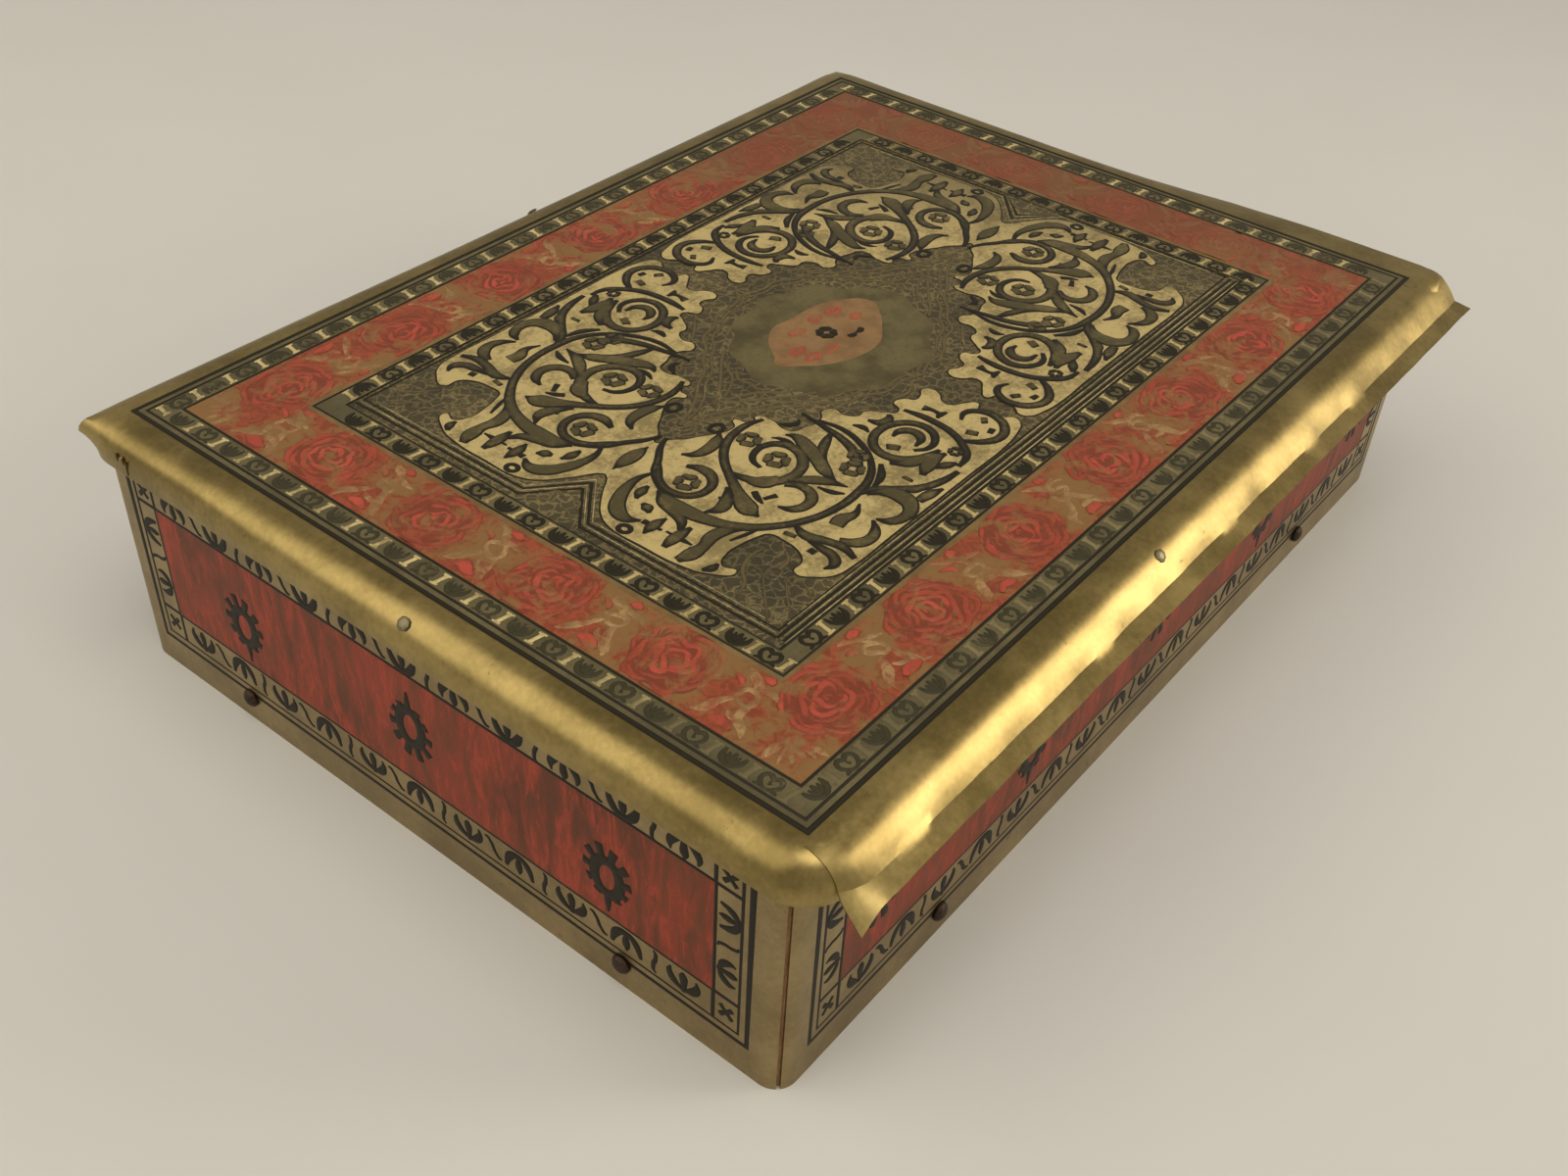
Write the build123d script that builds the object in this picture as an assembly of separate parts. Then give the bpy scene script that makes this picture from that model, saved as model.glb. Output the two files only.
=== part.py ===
# A brass-clad wooden cigarette box, closed. A mitred carcase is wrapped in sheet brass,
# and its lid is a board in a pressed brass shell with rolled edges and a thumb lip.
# Millimetres. The origin is the centre of the underside, +Z is up, the lip faces -Y
# and the two butt hinges are on the +Y side.
from build123d import *
from math import atan2, cos, degrees, pi, radians, sin
import os

os.makedirs("parts", exist_ok=True)

# Carcase and its brass
body_length = 140.0
body_depth = 100.0
rim_height = 29.0
body_corner_radius = 2.6
sheet = 0.4
wall = 5.6
base_thickness = 6.0
seam_gap = 0.2

# Divider between the two rows of cigarettes
divider_thickness = 2.4
dado_depth = 1.5
divider_fit = 0.1
divider_headroom = 0.4
scoop_width = 46.0
scoop_depth = 5.0

# Lid
lid_gap = 0.1
lid_height = 4.6
side_overhang = 1.1
end_overhang = 3.2
lid_corner_radius = 5.5
roll_radius = 4.1
bend_cut = 0.25
return_width = 4.5
board_gap = 0.2
liner_thickness = 1.6
liner_clearance = 0.6

# Thumb lip along the front of the lid
lip_reach = 3.0
lip_drop = 1.0
lip_root_height = 0.9
lip_left_setback = 3.6
lip_left_flare = 0.6
lip_right_setback = 0.2
lip_right_flare = 1.3
lip_crease_radius = 0.6

# Domed nails that hold the walls and the brass to the base
nail_head_radius = 1.15
nail_head_height = 0.9
nail_radius = 0.55
nail_length = 9.0
nail_point = 1.4
nail_height = 3.7
nail_inset_front = 26.5
nail_inset_side = 20.5
nail_clearance = 0.02
nail_sides = 8
tip_share = 0.25
dome_angles = (0, 32, 60, 80)

# Small pins through the rolled edge into the lid board
pin_head_radius = 0.8
pin_head_height = 0.25
pin_radius = 0.45
pin_length = 3.8
pin_point = 0.8
front_pin_x = -10.0
left_pin_y = -1.0
right_pin_y = -10.8
back_pin_x = 0.0

# Butt hinges
hinge_inset = 28.0
hinge_length = 16.0
knuckle_radius = 1.2
knuckle_share = 0.36
knuckle_gap = 0.1
leaf_thickness = 0.4
body_leaf_width = 7.6
lid_leaf_width = 6.2
hinge_pin_radius = 0.55
hinge_pin_play = 0.05
hinge_pin_head = 0.3
hinge_clearance = 0.15
hinge_nail_radius = 0.45
hinge_nail_head_radius = 1.0
hinge_nail_head_height = 0.5
hinge_nail_length = 3.6
hinge_nail_point = 0.8
hinge_nail_spacing = 9.0
hinge_nail_inset = 4.8
lid_nail_inset = 3.9
lid_nail_length = 3.2

# How far a cut runs past what it cuts
overrun = 1.0

# Places and sizes that follow from the values above
carcase_length = body_length - 2 * sheet
carcase_depth = body_depth - 2 * sheet
inside_length = carcase_length - 2 * wall
inside_depth = carcase_depth - 2 * wall

lid_length = body_length + 2 * side_overhang
lid_depth = body_depth + 2 * end_overhang
lid_bottom = rim_height + lid_gap
lid_top = lid_bottom + lid_height
board_bottom = lid_bottom + sheet
board_top = lid_top - sheet
liner_bottom = board_bottom - liner_thickness
divider_top = liner_bottom - divider_headroom

leaf_top = board_bottom
leaf_bottom = board_bottom - leaf_thickness
axis_y = body_depth / 2 + knuckle_radius + knuckle_gap
axis_z = leaf_top - knuckle_radius


def rounded_block(length, depth, bottom, top, radius):
    """A block centred on the Z axis with rounded upright corners."""
    plan = RectangleRounded(length, depth, radius)
    return Pos(0, 0, bottom) * extrude(plan, top - bottom)


def block(x, y, z):
    """A plain block from its (low, high) limits along each axis."""
    size = [high - low for low, high in (x, y, z)]
    centre = [(high + low) / 2 for low, high in (x, y, z)]
    return Pos(*centre) * Box(*size)


def rod(start, direction, radius, length):
    """A round rod that leaves a point along a direction."""
    return Plane(origin=start, z_dir=direction) * Cylinder(
        radius, length, align=(Align.CENTER, Align.CENTER, Align.MIN)
    )


def stretch(radius, end_radius, length):
    """One straight-sided stretch of a nail or a pin head, from z = 0 upwards."""
    narrowing = (radius - end_radius) * cos(pi / nail_sides)
    section = RegularPolygon(radius, nail_sides)
    return extrude(section, length, taper=degrees(atan2(narrowing, length)))


def shank(radius, length, point):
    """A nail's shank with its point, from z = 0 downwards."""
    shoulder = Pos(0, 0, point - length)
    tip = shoulder * Rot(180, 0, 0) * stretch(radius, radius * tip_share, point)
    return shoulder * stretch(radius, radius, length - point) + tip


def domed_nail(radius, length, point, head_radius, head_height):
    """A nail that points along -Z, with the underside of its domed head at z = 0."""
    nail = shank(radius, length, point)
    for low, high in zip(dome_angles, dome_angles[1:]):
        bottom, top = head_height * sin(radians(low)), head_height * sin(radians(high))
        wide, narrow = head_radius * cos(radians(low)), head_radius * cos(radians(high))
        nail += Pos(0, 0, bottom) * stretch(wide, narrow, top - bottom)
    return nail


def flush_nail(clearance=0.0):
    """A nail that points along -Z, with a flush head sunk to the leaf's thickness."""
    body = shank(hinge_nail_radius + clearance, lid_nail_length, hinge_nail_point)
    head = stretch(hinge_nail_radius + clearance, hinge_nail_head_radius + clearance, leaf_thickness)
    return body + Pos(0, 0, -leaf_thickness) * head


def nail_bore(radius, length):
    """The bore of a nail, from z = 0 downwards."""
    wide = radius + nail_clearance
    return Pos(0, 0, -length) * stretch(wide, wide, length)


def at(point, outward):
    """The plane at a point of a face, with its Z axis out of the face."""
    return Plane(origin=point, z_dir=outward)


def body_nail_planes():
    """Where the eight nails stand, two on each face, low enough to reach the base."""
    for side in (-1, 1):
        for end in (-1, 1):
            across = end * (body_length / 2 - nail_inset_front)
            yield at((across, side * body_depth / 2, nail_height), (0, side, 0))
            along = end * (body_depth / 2 - nail_inset_side)
            yield at((side * body_length / 2, along, nail_height), (side, 0, 0))


def body_nail_holes():
    """The bores of the eight nails."""
    return [plane * nail_bore(nail_radius, nail_length) for plane in body_nail_planes()]


def make_base_board():
    board = block(
        (-inside_length / 2, inside_length / 2),
        (-inside_depth / 2, inside_depth / 2),
        (0, base_thickness),
    )
    return board - body_nail_holes()


def make_carcase():
    """The four walls as one ring, with the dados and every bore that the walls share."""
    ring = rounded_block(
        carcase_length, carcase_depth, 0, rim_height, body_corner_radius - sheet
    )
    ring -= block(
        (-inside_length / 2, inside_length / 2),
        (-inside_depth / 2, inside_depth / 2),
        (-overrun, rim_height + overrun),
    )
    dado_half = divider_thickness / 2 + divider_fit
    dado_end = inside_depth / 2 + dado_depth
    ring -= block(
        (-dado_half, dado_half), (-dado_end, dado_end), (base_thickness, rim_height + overrun)
    )
    return ring - body_nail_holes() - body_leaf_nail_holes()


def make_walls():
    """The ring, sawn through its four mitres."""
    ring = make_carcase()
    half_x, half_y = carcase_length / 2, carcase_depth / 2
    reach = 2 * wall
    front_wedge = Polygon(
        (-half_x, -half_y), (half_x, -half_y),
        (half_x - reach, reach - half_y), (reach - half_x, reach - half_y),
        align=None,
    )
    left_wedge = Polygon(
        (-half_x, -half_y), (reach - half_x, reach - half_y),
        (reach - half_x, half_y - reach), (-half_x, half_y),
        align=None,
    )
    boards = {}
    for name, wedge, opposite in (
        ("wall_front", front_wedge, "wall_back"),
        ("wall_left", left_wedge, "wall_right"),
    ):
        boards[name] = ring & extrude(wedge, rim_height)
        boards[opposite] = ring & extrude(Rot(0, 0, 180) * wedge, rim_height)
    return boards


def make_side_cladding():
    """The sheet brass round the walls, butted at the front left corner."""
    cladding = rounded_block(body_length, body_depth, 0, rim_height, body_corner_radius)
    cladding -= rounded_block(
        carcase_length, carcase_depth, -overrun, rim_height + overrun, body_corner_radius - sheet
    )
    seam_reach = 4 * body_corner_radius
    seam = Rot(0, 0, 45) * block(
        (-seam_reach, seam_reach), (-seam_gap / 2, seam_gap / 2), (-overrun, rim_height + overrun)
    )
    inset = body_corner_radius
    cladding -= Pos(inset - body_length / 2, inset - body_depth / 2, 0) * seam & block(
        (-body_length, inset - body_length / 2),
        (-body_depth, inset - body_depth / 2),
        (-overrun, rim_height + overrun),
    )
    return cladding - body_nail_holes() - body_leaf_nail_holes()


def make_body_nails():
    nail = domed_nail(
        nail_radius, nail_length, nail_point, nail_head_radius, nail_head_height
    )
    return [plane * nail for plane in body_nail_planes()]


def make_divider():
    """The partition, with a finger scoop in its top edge."""
    half, end = divider_thickness / 2, inside_depth / 2 + dado_depth - divider_fit
    board = block((-half, half), (-end, end), (base_thickness, divider_top))
    scoop_radius = (scoop_width**2 / 4 + scoop_depth**2) / (2 * scoop_depth)
    scoop = rod(
        (-half - overrun, 0, divider_top + scoop_radius - scoop_depth),
        (1, 0, 0), scoop_radius, divider_thickness + 2 * overrun,
    )
    return board - scoop


def rolled_block(inset, bottom, top):
    """The lid's form drawn in by an inset: rounded corners and a rolled top edge."""
    form = rounded_block(
        lid_length - 2 * inset, lid_depth - 2 * inset, bottom, top, lid_corner_radius - inset
    )
    return fillet(form.faces().sort_by(Axis.Z)[-1].edges(), roll_radius - inset)


def lid_pin_planes():
    """Where the four small pins stand, square to the middle of the roll."""
    slope = sin(radians(45))
    out = roll_radius * (1 - slope)
    level = lid_top - out
    x, y = lid_length / 2 - out, lid_depth / 2 - out
    yield at((front_pin_x, -y, level), (0, -slope, slope))
    yield at((back_pin_x, y, level), (0, slope, slope))
    yield at((-x, left_pin_y, level), (-slope, 0, slope))
    yield at((x, right_pin_y, level), (slope, 0, slope))


def lid_pin_holes():
    """The bores of the four pins, run out past the curve of the roll."""
    bore = Pos(0, 0, pin_head_height) * nail_bore(pin_radius, pin_length + pin_head_height)
    return [plane * bore for plane in lid_pin_planes()]


def make_lid_pins():
    pin = domed_nail(pin_radius, pin_length, pin_point, pin_head_radius, pin_head_height)
    return [plane * pin for plane in lid_pin_planes()]


def hinge_places():
    """The two hinges by name, with the X of their middles."""
    right = body_length / 2 - hinge_inset
    return {"left": -right, "right": right}


def barrel_reliefs(clearance):
    """Round grooves that let the hinge barrels turn."""
    half = hinge_length / 2 + clearance
    return [
        rod((x - half, axis_y, axis_z), (1, 0, 0), knuckle_radius + clearance, 2 * half)
        for x in hinge_places().values()
    ]


def make_lid_board():
    board = rolled_block(sheet + board_gap, board_bottom, board_top)
    return board - barrel_reliefs(hinge_clearance) - lid_leaf_nail_holes() - lid_pin_holes()


def lip_section():
    """The lip in the YZ plane: it hangs on the roll, creases and slopes out to its edge."""
    front = -lid_depth / 2
    root = board_bottom + lip_root_height
    crease = front - lip_crease_radius
    slope = Line(
        (crease, root - lip_crease_radius), (front - lip_reach, root - lip_crease_radius - lip_drop)
    )
    upper = ThreePointArc(
        (front, root),
        (front - lip_crease_radius * (1 - sin(radians(45))),
         root - lip_crease_radius * sin(radians(45))),
        (crease, root - lip_crease_radius),
    )
    drop = Vector(0, -sheet)
    outer_low = (slope @ 1) + drop
    inner_low = (slope @ 0) + drop
    rest = Polyline(
        tuple(slope @ 1)[:2], tuple(outer_low)[:2], tuple(inner_low)[:2],
        (front + sheet, board_bottom), (front + sheet, root), (front, root),
    )
    return make_face(Curve() + [upper, slope, rest])


def make_lip():
    """The lip with its two ends cut at a slant, and the flat that joins it to the corner."""
    section = Plane.YZ * lip_section()
    strip = Pos(-lid_length, 0, 0) * extrude(section, 2 * lid_length)
    left, right = lip_left_setback - lid_length / 2, lid_length / 2 - lip_right_setback
    inner, outer = sheet - lid_depth / 2, -lid_depth / 2 - lip_reach
    plan = Polygon(
        (left, inner), (left - lip_left_flare, outer), (right + lip_right_flare, outer),
        (right, inner),
        align=None,
    )
    strip &= Pos(0, 0, board_bottom - lip_drop - overrun) * extrude(plan, lid_height)
    flat_top = board_bottom + lip_root_height - lip_crease_radius
    corner = block(
        (lid_length / 2 - lid_corner_radius, right),
        (-lid_depth / 2 - lip_crease_radius, lid_corner_radius - lid_depth / 2),
        (flat_top - sheet, flat_top),
    )
    return strip + corner


def make_lid_shell():
    """The pressed brass: rolled edges, returns turned under the board, and the lip."""
    shell = rolled_block(0, lid_bottom, lid_top)
    shell = chamfer(shell.faces().sort_by(Axis.Z)[0].edges(), bend_cut)
    cavity = rolled_block(sheet, board_bottom, board_top)
    inner_y = lid_depth / 2 - sheet
    edge_x, edge_y = lid_length / 2 - return_width, lid_depth / 2 - return_width
    low = lid_bottom - overrun
    under = block((-edge_x, edge_x), (-edge_y, edge_y), (low, board_top - overrun))
    front = block((-edge_x, edge_x), (-lid_depth, 0), (low, board_bottom))
    shell -= cavity
    shell -= [under, front]
    notch = hinge_length / 2 + hinge_clearance
    for x in hinge_places().values():
        shell -= block((x - notch, x + notch), (0, inner_y), (low, board_bottom))
    shell += make_lip() - cavity
    return shell - lid_pin_holes()


def make_lid_liner():
    """The thin panel under the board, which drops inside the rim."""
    half_x, half_y = inside_length / 2 - liner_clearance, inside_depth / 2 - liner_clearance
    panel = block((-half_x, half_x), (-half_y, half_y), (liner_bottom, board_bottom))
    return chamfer(panel.faces().sort_by(Axis.Z)[0].edges(), liner_clearance)


def knuckle_limits():
    """The lid's knuckle in the middle of the barrel, and the body's two at its ends."""
    half, middle = hinge_length / 2, hinge_length * knuckle_share / 2
    return {"lid": [(-middle, middle)],
            "body": [(-half, -middle - knuckle_gap), (middle + knuckle_gap, half)]}


def knuckles(owner, radius):
    """Rods along the hinge axis, one for each knuckle of a leaf."""
    return [
        rod((low, axis_y, axis_z), (1, 0, 0), radius, high - low)
        for low, high in knuckle_limits()[owner]
    ]


def clear_of(other):
    """Blocks round the other leaf's knuckles, with room for them to turn."""
    reach = knuckle_radius + hinge_clearance
    return [
        block((low - knuckle_gap, high + knuckle_gap), (axis_y - reach, axis_y + reach),
              (axis_z - reach, axis_z + reach))
        for low, high in knuckle_limits()[other]
    ]


def leaf_nail_planes(owner):
    """Where a leaf's two nails stand, on the hinge at x = 0."""
    for x in (-hinge_nail_spacing / 2, hinge_nail_spacing / 2):
        if owner == "body":
            yield at((x, body_depth / 2 + leaf_thickness, axis_z - hinge_nail_inset), (0, 1, 0))
        else:
            yield at((x, axis_y - lid_nail_inset, leaf_bottom), (0, 0, -1))


def body_leaf_nail_holes():
    bore = nail_bore(hinge_nail_radius, hinge_nail_length)
    return [Pos(x, 0, 0) * (plane * bore)
            for x in hinge_places().values() for plane in leaf_nail_planes("body")]


def lid_leaf_nail_holes():
    return [Pos(x, 0, 0) * (plane * flush_nail(nail_clearance))
            for x in hinge_places().values() for plane in leaf_nail_planes("lid")]


def make_body_leaf():
    """The leaf on the back wall, rolled into the two outer knuckles."""
    half = hinge_length / 2
    face = body_depth / 2
    leaf = block((-half, half), (face, face + leaf_thickness), (axis_z - body_leaf_width, axis_z))
    leaf -= clear_of("lid")
    leaf += knuckles("body", knuckle_radius)
    leaf -= knuckles("body", hinge_pin_radius)
    bore = nail_bore(hinge_nail_radius, hinge_nail_length)
    return leaf - [plane * bore for plane in leaf_nail_planes("body")]


def make_lid_leaf():
    """The leaf under the lid board, rolled into the middle knuckle."""
    half = hinge_length / 2
    leaf = block((-half, half), (axis_y - lid_leaf_width, axis_y), (leaf_bottom, leaf_top))
    leaf -= clear_of("body")
    leaf += knuckles("lid", knuckle_radius)
    leaf -= knuckles("lid", hinge_pin_radius + hinge_pin_play)
    return leaf - [plane * flush_nail(nail_clearance) for plane in leaf_nail_planes("lid")]


def make_hinge_pin():
    """The pin, closed over at both ends of the barrel."""
    half = hinge_length / 2
    head_radius = (hinge_pin_radius + knuckle_radius) / 2
    head = stretch(head_radius, hinge_pin_radius, hinge_pin_head)
    pin = rod((-half, axis_y, axis_z), (1, 0, 0), hinge_pin_radius, hinge_length)
    for side in (-1, 1):
        pin += at((side * half, axis_y, axis_z), (side, 0, 0)) * head
    return pin


def make_body_leaf_nails():
    nail = domed_nail(
        hinge_nail_radius, hinge_nail_length, hinge_nail_point,
        hinge_nail_head_radius, hinge_nail_head_height,
    )
    return [Pos(x, 0, 0) * (plane * nail)
            for x in hinge_places().values() for plane in leaf_nail_planes("body")]


def make_lid_leaf_nails():
    return [Pos(x, 0, 0) * (plane * flush_nail())
            for x in hinge_places().values() for plane in leaf_nail_planes("lid")]


def write(name, shape):
    """One file for each named piece. A list of like solids shares one file."""
    solid = Compound(children=shape) if isinstance(shape, list) else shape
    solid.label = name
    export_step(solid, f"parts/{name}.step")


write("base_board", make_base_board())
for name, board in make_walls().items():
    write(name, board)
write("side_cladding", make_side_cladding())
write("body_nails", make_body_nails())
write("divider", make_divider())
write("lid_board", make_lid_board())
write("lid_shell", make_lid_shell())
write("lid_liner", make_lid_liner())
write("lid_pins", make_lid_pins())
for name, x in hinge_places().items():
    write(f"hinge_{name}_body_leaf", Pos(x, 0, 0) * make_body_leaf())
    write(f"hinge_{name}_lid_leaf", Pos(x, 0, 0) * make_lid_leaf())
    write(f"hinge_{name}_pin", Pos(x, 0, 0) * make_hinge_pin())
write("hinge_body_nails", make_body_leaf_nails())
write("hinge_lid_nails", make_lid_leaf_nails())
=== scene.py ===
# %% [markdown]
# # A brass-clad cigarette box
# The box is a small wooden case wrapped in thin printed brass. This lesson dresses the packed
# frame of the box: the wooden boards and the hinges stay as they are and only get finishes,
# while the thin brass, with its rolled edges and its ornament in low relief, is modelled here.

# %% The frame
import math

import bpy
from mathutils import Matrix, Vector, noise


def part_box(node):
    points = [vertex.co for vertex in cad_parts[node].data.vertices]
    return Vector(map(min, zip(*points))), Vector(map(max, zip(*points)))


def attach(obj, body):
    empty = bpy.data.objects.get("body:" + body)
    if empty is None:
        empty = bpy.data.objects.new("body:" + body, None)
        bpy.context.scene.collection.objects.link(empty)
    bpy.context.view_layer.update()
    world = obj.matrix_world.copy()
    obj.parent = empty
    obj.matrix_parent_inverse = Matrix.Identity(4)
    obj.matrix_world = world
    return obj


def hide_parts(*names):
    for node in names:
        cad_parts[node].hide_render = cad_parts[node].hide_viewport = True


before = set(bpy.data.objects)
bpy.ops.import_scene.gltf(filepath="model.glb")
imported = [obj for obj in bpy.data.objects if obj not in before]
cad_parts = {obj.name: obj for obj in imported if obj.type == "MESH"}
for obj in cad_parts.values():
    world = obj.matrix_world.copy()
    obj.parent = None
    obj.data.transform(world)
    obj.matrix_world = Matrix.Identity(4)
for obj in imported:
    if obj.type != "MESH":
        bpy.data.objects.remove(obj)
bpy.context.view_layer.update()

mm = 0.001

# %% [markdown]
# ## The camera
# The borders on the lid are straight, parallel and square, so they show where the photographer
# stood: from the front left corner, looking down at about forty degrees, with the camera a
# little off level. The camera is built from those angles, so that it looks at the same point
# from the same distance.

# %% The camera
image_width = 1600
sensor_width = 36.0
focal_in_pixels = 1673.6
azimuth, elevation, tilt = math.radians(-53.461), math.radians(39.487), math.radians(3.273)
camera_distance = 218.109 * mm
look_at = Vector((-9.132, -1.963, 0)) * mm


def camera_axes():
    """The camera's own right, up and backward directions."""
    flat = math.cos(elevation)
    back = Vector((math.sin(azimuth) * flat, -math.cos(azimuth) * flat, math.sin(elevation)))
    right = (-back).cross(Vector((0, 0, 1))).normalized()
    up = right.cross(-back)
    turned_right = math.cos(tilt) * right + math.sin(tilt) * up
    turned_up = math.cos(tilt) * up - math.sin(tilt) * right
    return turned_right, turned_up, back


def place_camera():
    right, up, back = camera_axes()
    data = bpy.data.cameras.new("camera")
    data.sensor_width = sensor_width
    data.lens = sensor_width * focal_in_pixels / image_width
    data.clip_start = 0.01
    camera = bpy.data.objects.new("camera", data)
    bpy.context.scene.collection.objects.link(camera)
    turn = Matrix((right, up, back)).transposed().to_4x4()
    camera.matrix_world = Matrix.Translation(look_at + back * camera_distance) @ turn
    bpy.context.scene.camera = camera
    print("lens", round(data.lens, 2), "mm, camera at", camera.matrix_world.translation)


place_camera()

# %% [markdown]
# ## Expressions for shaders
# A finish such as worn lacquer is arithmetic on patterns: this much noise, less where the metal
# is rubbed. Wrapping a node's socket in a small class lets Python's own operators add the Math
# nodes, so that a finish reads as the sum it is.

# %% Sockets as numbers
class Wire:
    """The output of a shader node, which can stand in a sum."""

    def __init__(self, finish, socket):
        self.finish, self.socket = finish, socket

    def maths(self, operation, *values):
        return self.finish.add("Math", {"operation": operation}, dict(enumerate(values)))

    def __add__(self, other):
        return self.maths("ADD", self, other)

    __radd__ = __add__

    def __sub__(self, other):
        return self.maths("SUBTRACT", self, other)

    def __rsub__(self, other):
        return self.maths("SUBTRACT", other, self)

    def __mul__(self, other):
        return self.maths("MULTIPLY", self, other)

    __rmul__ = __mul__

    def step(self, low, high):
        """0 below low, 1 above high and a smooth rise between them."""
        ends = {"From Min": low, "From Max": high}
        return self.finish.add(
            "MapRange", {"interpolation_type": "SMOOTHSTEP"}, {"Value": self, **ends}
        )


class Finish:
    """A material in the making, on one Principled shader."""

    def __init__(self, name, shine=0.5, **constants):
        self.material = bpy.data.materials.new(name)
        self.material.use_nodes = True
        self.tree = self.material.node_tree
        self.shader = self.tree.nodes["Principled BSDF"]
        self.shader.inputs["Specular IOR Level"].default_value = shine
        for socket, value in constants.items():
            self.shader.inputs[socket.replace("_", " ").title()].default_value = value
        self.place = self.add("TexCoord", output="Object")

    def add(self, kind, settings=None, inputs=None, output=0):
        """Any node: its type, its settings, then the values or links of its sockets."""
        node = self.tree.nodes.new("ShaderNode" + kind)
        for key, value in (settings or {}).items():
            setattr(node, key, value)
        for key, value in (inputs or {}).items():
            if isinstance(value, Wire):
                self.tree.links.new(value.socket, node.inputs[key])
            else:
                node.inputs[key].default_value = value
        return Wire(self, node.outputs[output])

    def noise(self, size, detail=3.0, rough=0.5, where=None, warp=0.0):
        """Cloudy noise from 0 to 1, whose blotches are about that many millimetres wide."""
        return self.add("TexNoise", None, {
            "Vector": where or self.place, "Scale": 1 / (size * mm), "Detail": detail,
            "Roughness": rough, "Distortion": warp,
        })

    def cell_edges(self, size, where):
        """The distance to the edges of cells about that many millimetres wide."""
        return self.add("TexVoronoi", {"feature": "DISTANCE_TO_EDGE"}, {
            "Vector": where, "Scale": 1 / (size * mm),
        }, "Distance")

    def across(self):
        """The object's own x and y."""
        return [self.add("SeparateXYZ", None, {"Vector": self.place}, axis) for axis in (0, 1)]

    def stretched(self, x, y, z):
        """The object's own coordinates, each axis multiplied."""
        return self.add("Mapping", {"vector_type": "POINT"}, {
            "Vector": self.place, "Scale": (x, y, z),
        })

    def attribute(self, name):
        return self.add("Attribute", {"attribute_name": name}, None, "Fac")

    def mix(self, share, first, second):
        """A colour between two, by a share from 0 to 1. Plain ones are red, green and blue."""
        first, second = (c if isinstance(c, Wire) else paint(*c) for c in (first, second))
        return self.add("Mix", {"data_type": "RGBA"}, {0: share, 6: first, 7: second}, 2)

    def set(self, socket, value):
        self.tree.links.new(value.socket, self.shader.inputs[socket])

    def surface(self, colour, roughness, height, depth):
        """Its colour, its roughness and its bumps, which are that many millimetres deep."""
        self.set("Base Color", colour)
        self.set("Roughness", roughness)
        self.set("Normal", self.add("Bump", None, {"Height": height, "Distance": depth * mm}))

    def give(self, *pieces):
        """Puts the finish on every face of these objects."""
        for piece in pieces:
            piece.data.materials.clear()
            piece.data.materials.append(self.material)


def paint(red, green, blue):
    """A colour as it is seen, 0 to 255, turned into the shader's linear scale."""
    def linear(value):
        share = value / 255
        return share / 12.92 if share <= 0.04045 else ((share + 0.055) / 1.055) ** 2.4
    return (linear(red), linear(green), linear(blue), 1.0)


# %% [markdown]
# ## Helpers for modelling
# Each new piece starts as a primitive and is shaped in edit mode. An operator acts on what is
# selected, so one helper empties the selection, picks out the part of the mesh that passes a
# test on its corners, and runs the operators on that part alone.

# %% Working on part of a mesh
def pick(piece):
    """Makes one object the only selected one, and the active one."""
    bpy.ops.object.select_all(action="DESELECT")
    piece.select_set(True)
    bpy.context.view_layer.objects.active = piece


def work(piece, kind, test, *steps):
    """Runs edit mode steps on the faces or edges whose corners pass a test."""
    pick(piece)
    bpy.ops.object.mode_set(mode="EDIT")
    bpy.ops.mesh.select_mode(type=kind)
    bpy.ops.mesh.select_all(action="DESELECT")
    bpy.ops.object.mode_set(mode="OBJECT")
    mesh = piece.data
    for part in mesh.edges if kind == "EDGE" else mesh.polygons:
        part.select = test([mesh.vertices[i].co.copy() for i in part.vertices])
    bpy.ops.object.mode_set(mode="EDIT")
    for step in steps:
        step()
    bpy.ops.object.mode_set(mode="OBJECT")


def start(name, add, **where):
    """Adds a primitive with its place in its mesh, and names it."""
    bpy.ops.object.select_all(action="DESELECT")
    add(**where)
    piece = bpy.context.object
    piece.name = piece.data.name = name
    bpy.ops.object.transform_apply(location=True, rotation=True, scale=True)
    return piece


def finish_with(piece, kind, **settings):
    """Adds a modifier and applies it."""
    pick(piece)
    modifier = piece.modifiers.new(kind.lower(), kind)
    for key, value in settings.items():
        setattr(modifier, key, value)
    bpy.ops.object.modifier_apply(modifier=modifier.name)


def smooth(piece, degrees):
    pick(piece)
    bpy.ops.object.shade_smooth_by_angle(angle=math.radians(degrees))


def joined(name, pieces):
    """Several objects as one."""
    pick(pieces[0])
    for piece in pieces:
        piece.select_set(True)
    bpy.ops.object.join()
    piece = bpy.context.object
    piece.name = piece.data.name = name
    return piece


same_place = 0.01 * mm


def all_level(level):
    """A test: every corner is at this height."""
    return lambda corners: all(abs(c.z - level) < same_place for c in corners)


def upright(corners):
    """A test: an edge that runs straight up."""
    a, b = corners
    return abs(a.z - b.z) > 10 * same_place and (a.xy - b.xy).length < same_place


def delete_faces():
    """A step: the chosen faces go."""
    bpy.ops.mesh.delete(type="FACE")


def rounded(offset, segments):
    """A step: the chosen edges are rounded."""
    return lambda: bpy.ops.mesh.bevel(offset=offset, segments=segments, affect="EDGES")


def rounded_block(name, half_x, half_y, low, high, corner, segments):
    """A block from one height to another, with rounded upright edges."""
    block = start(name, bpy.ops.mesh.primitive_cube_add, size=1)
    for vertex in block.data.vertices:
        x, y, z = vertex.co
        vertex.co = (2 * half_x * x, 2 * half_y * y, low + (high - low) * (z + 0.5))
    work(block, "EDGE", upright, rounded(corner, segments))
    return block


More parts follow.
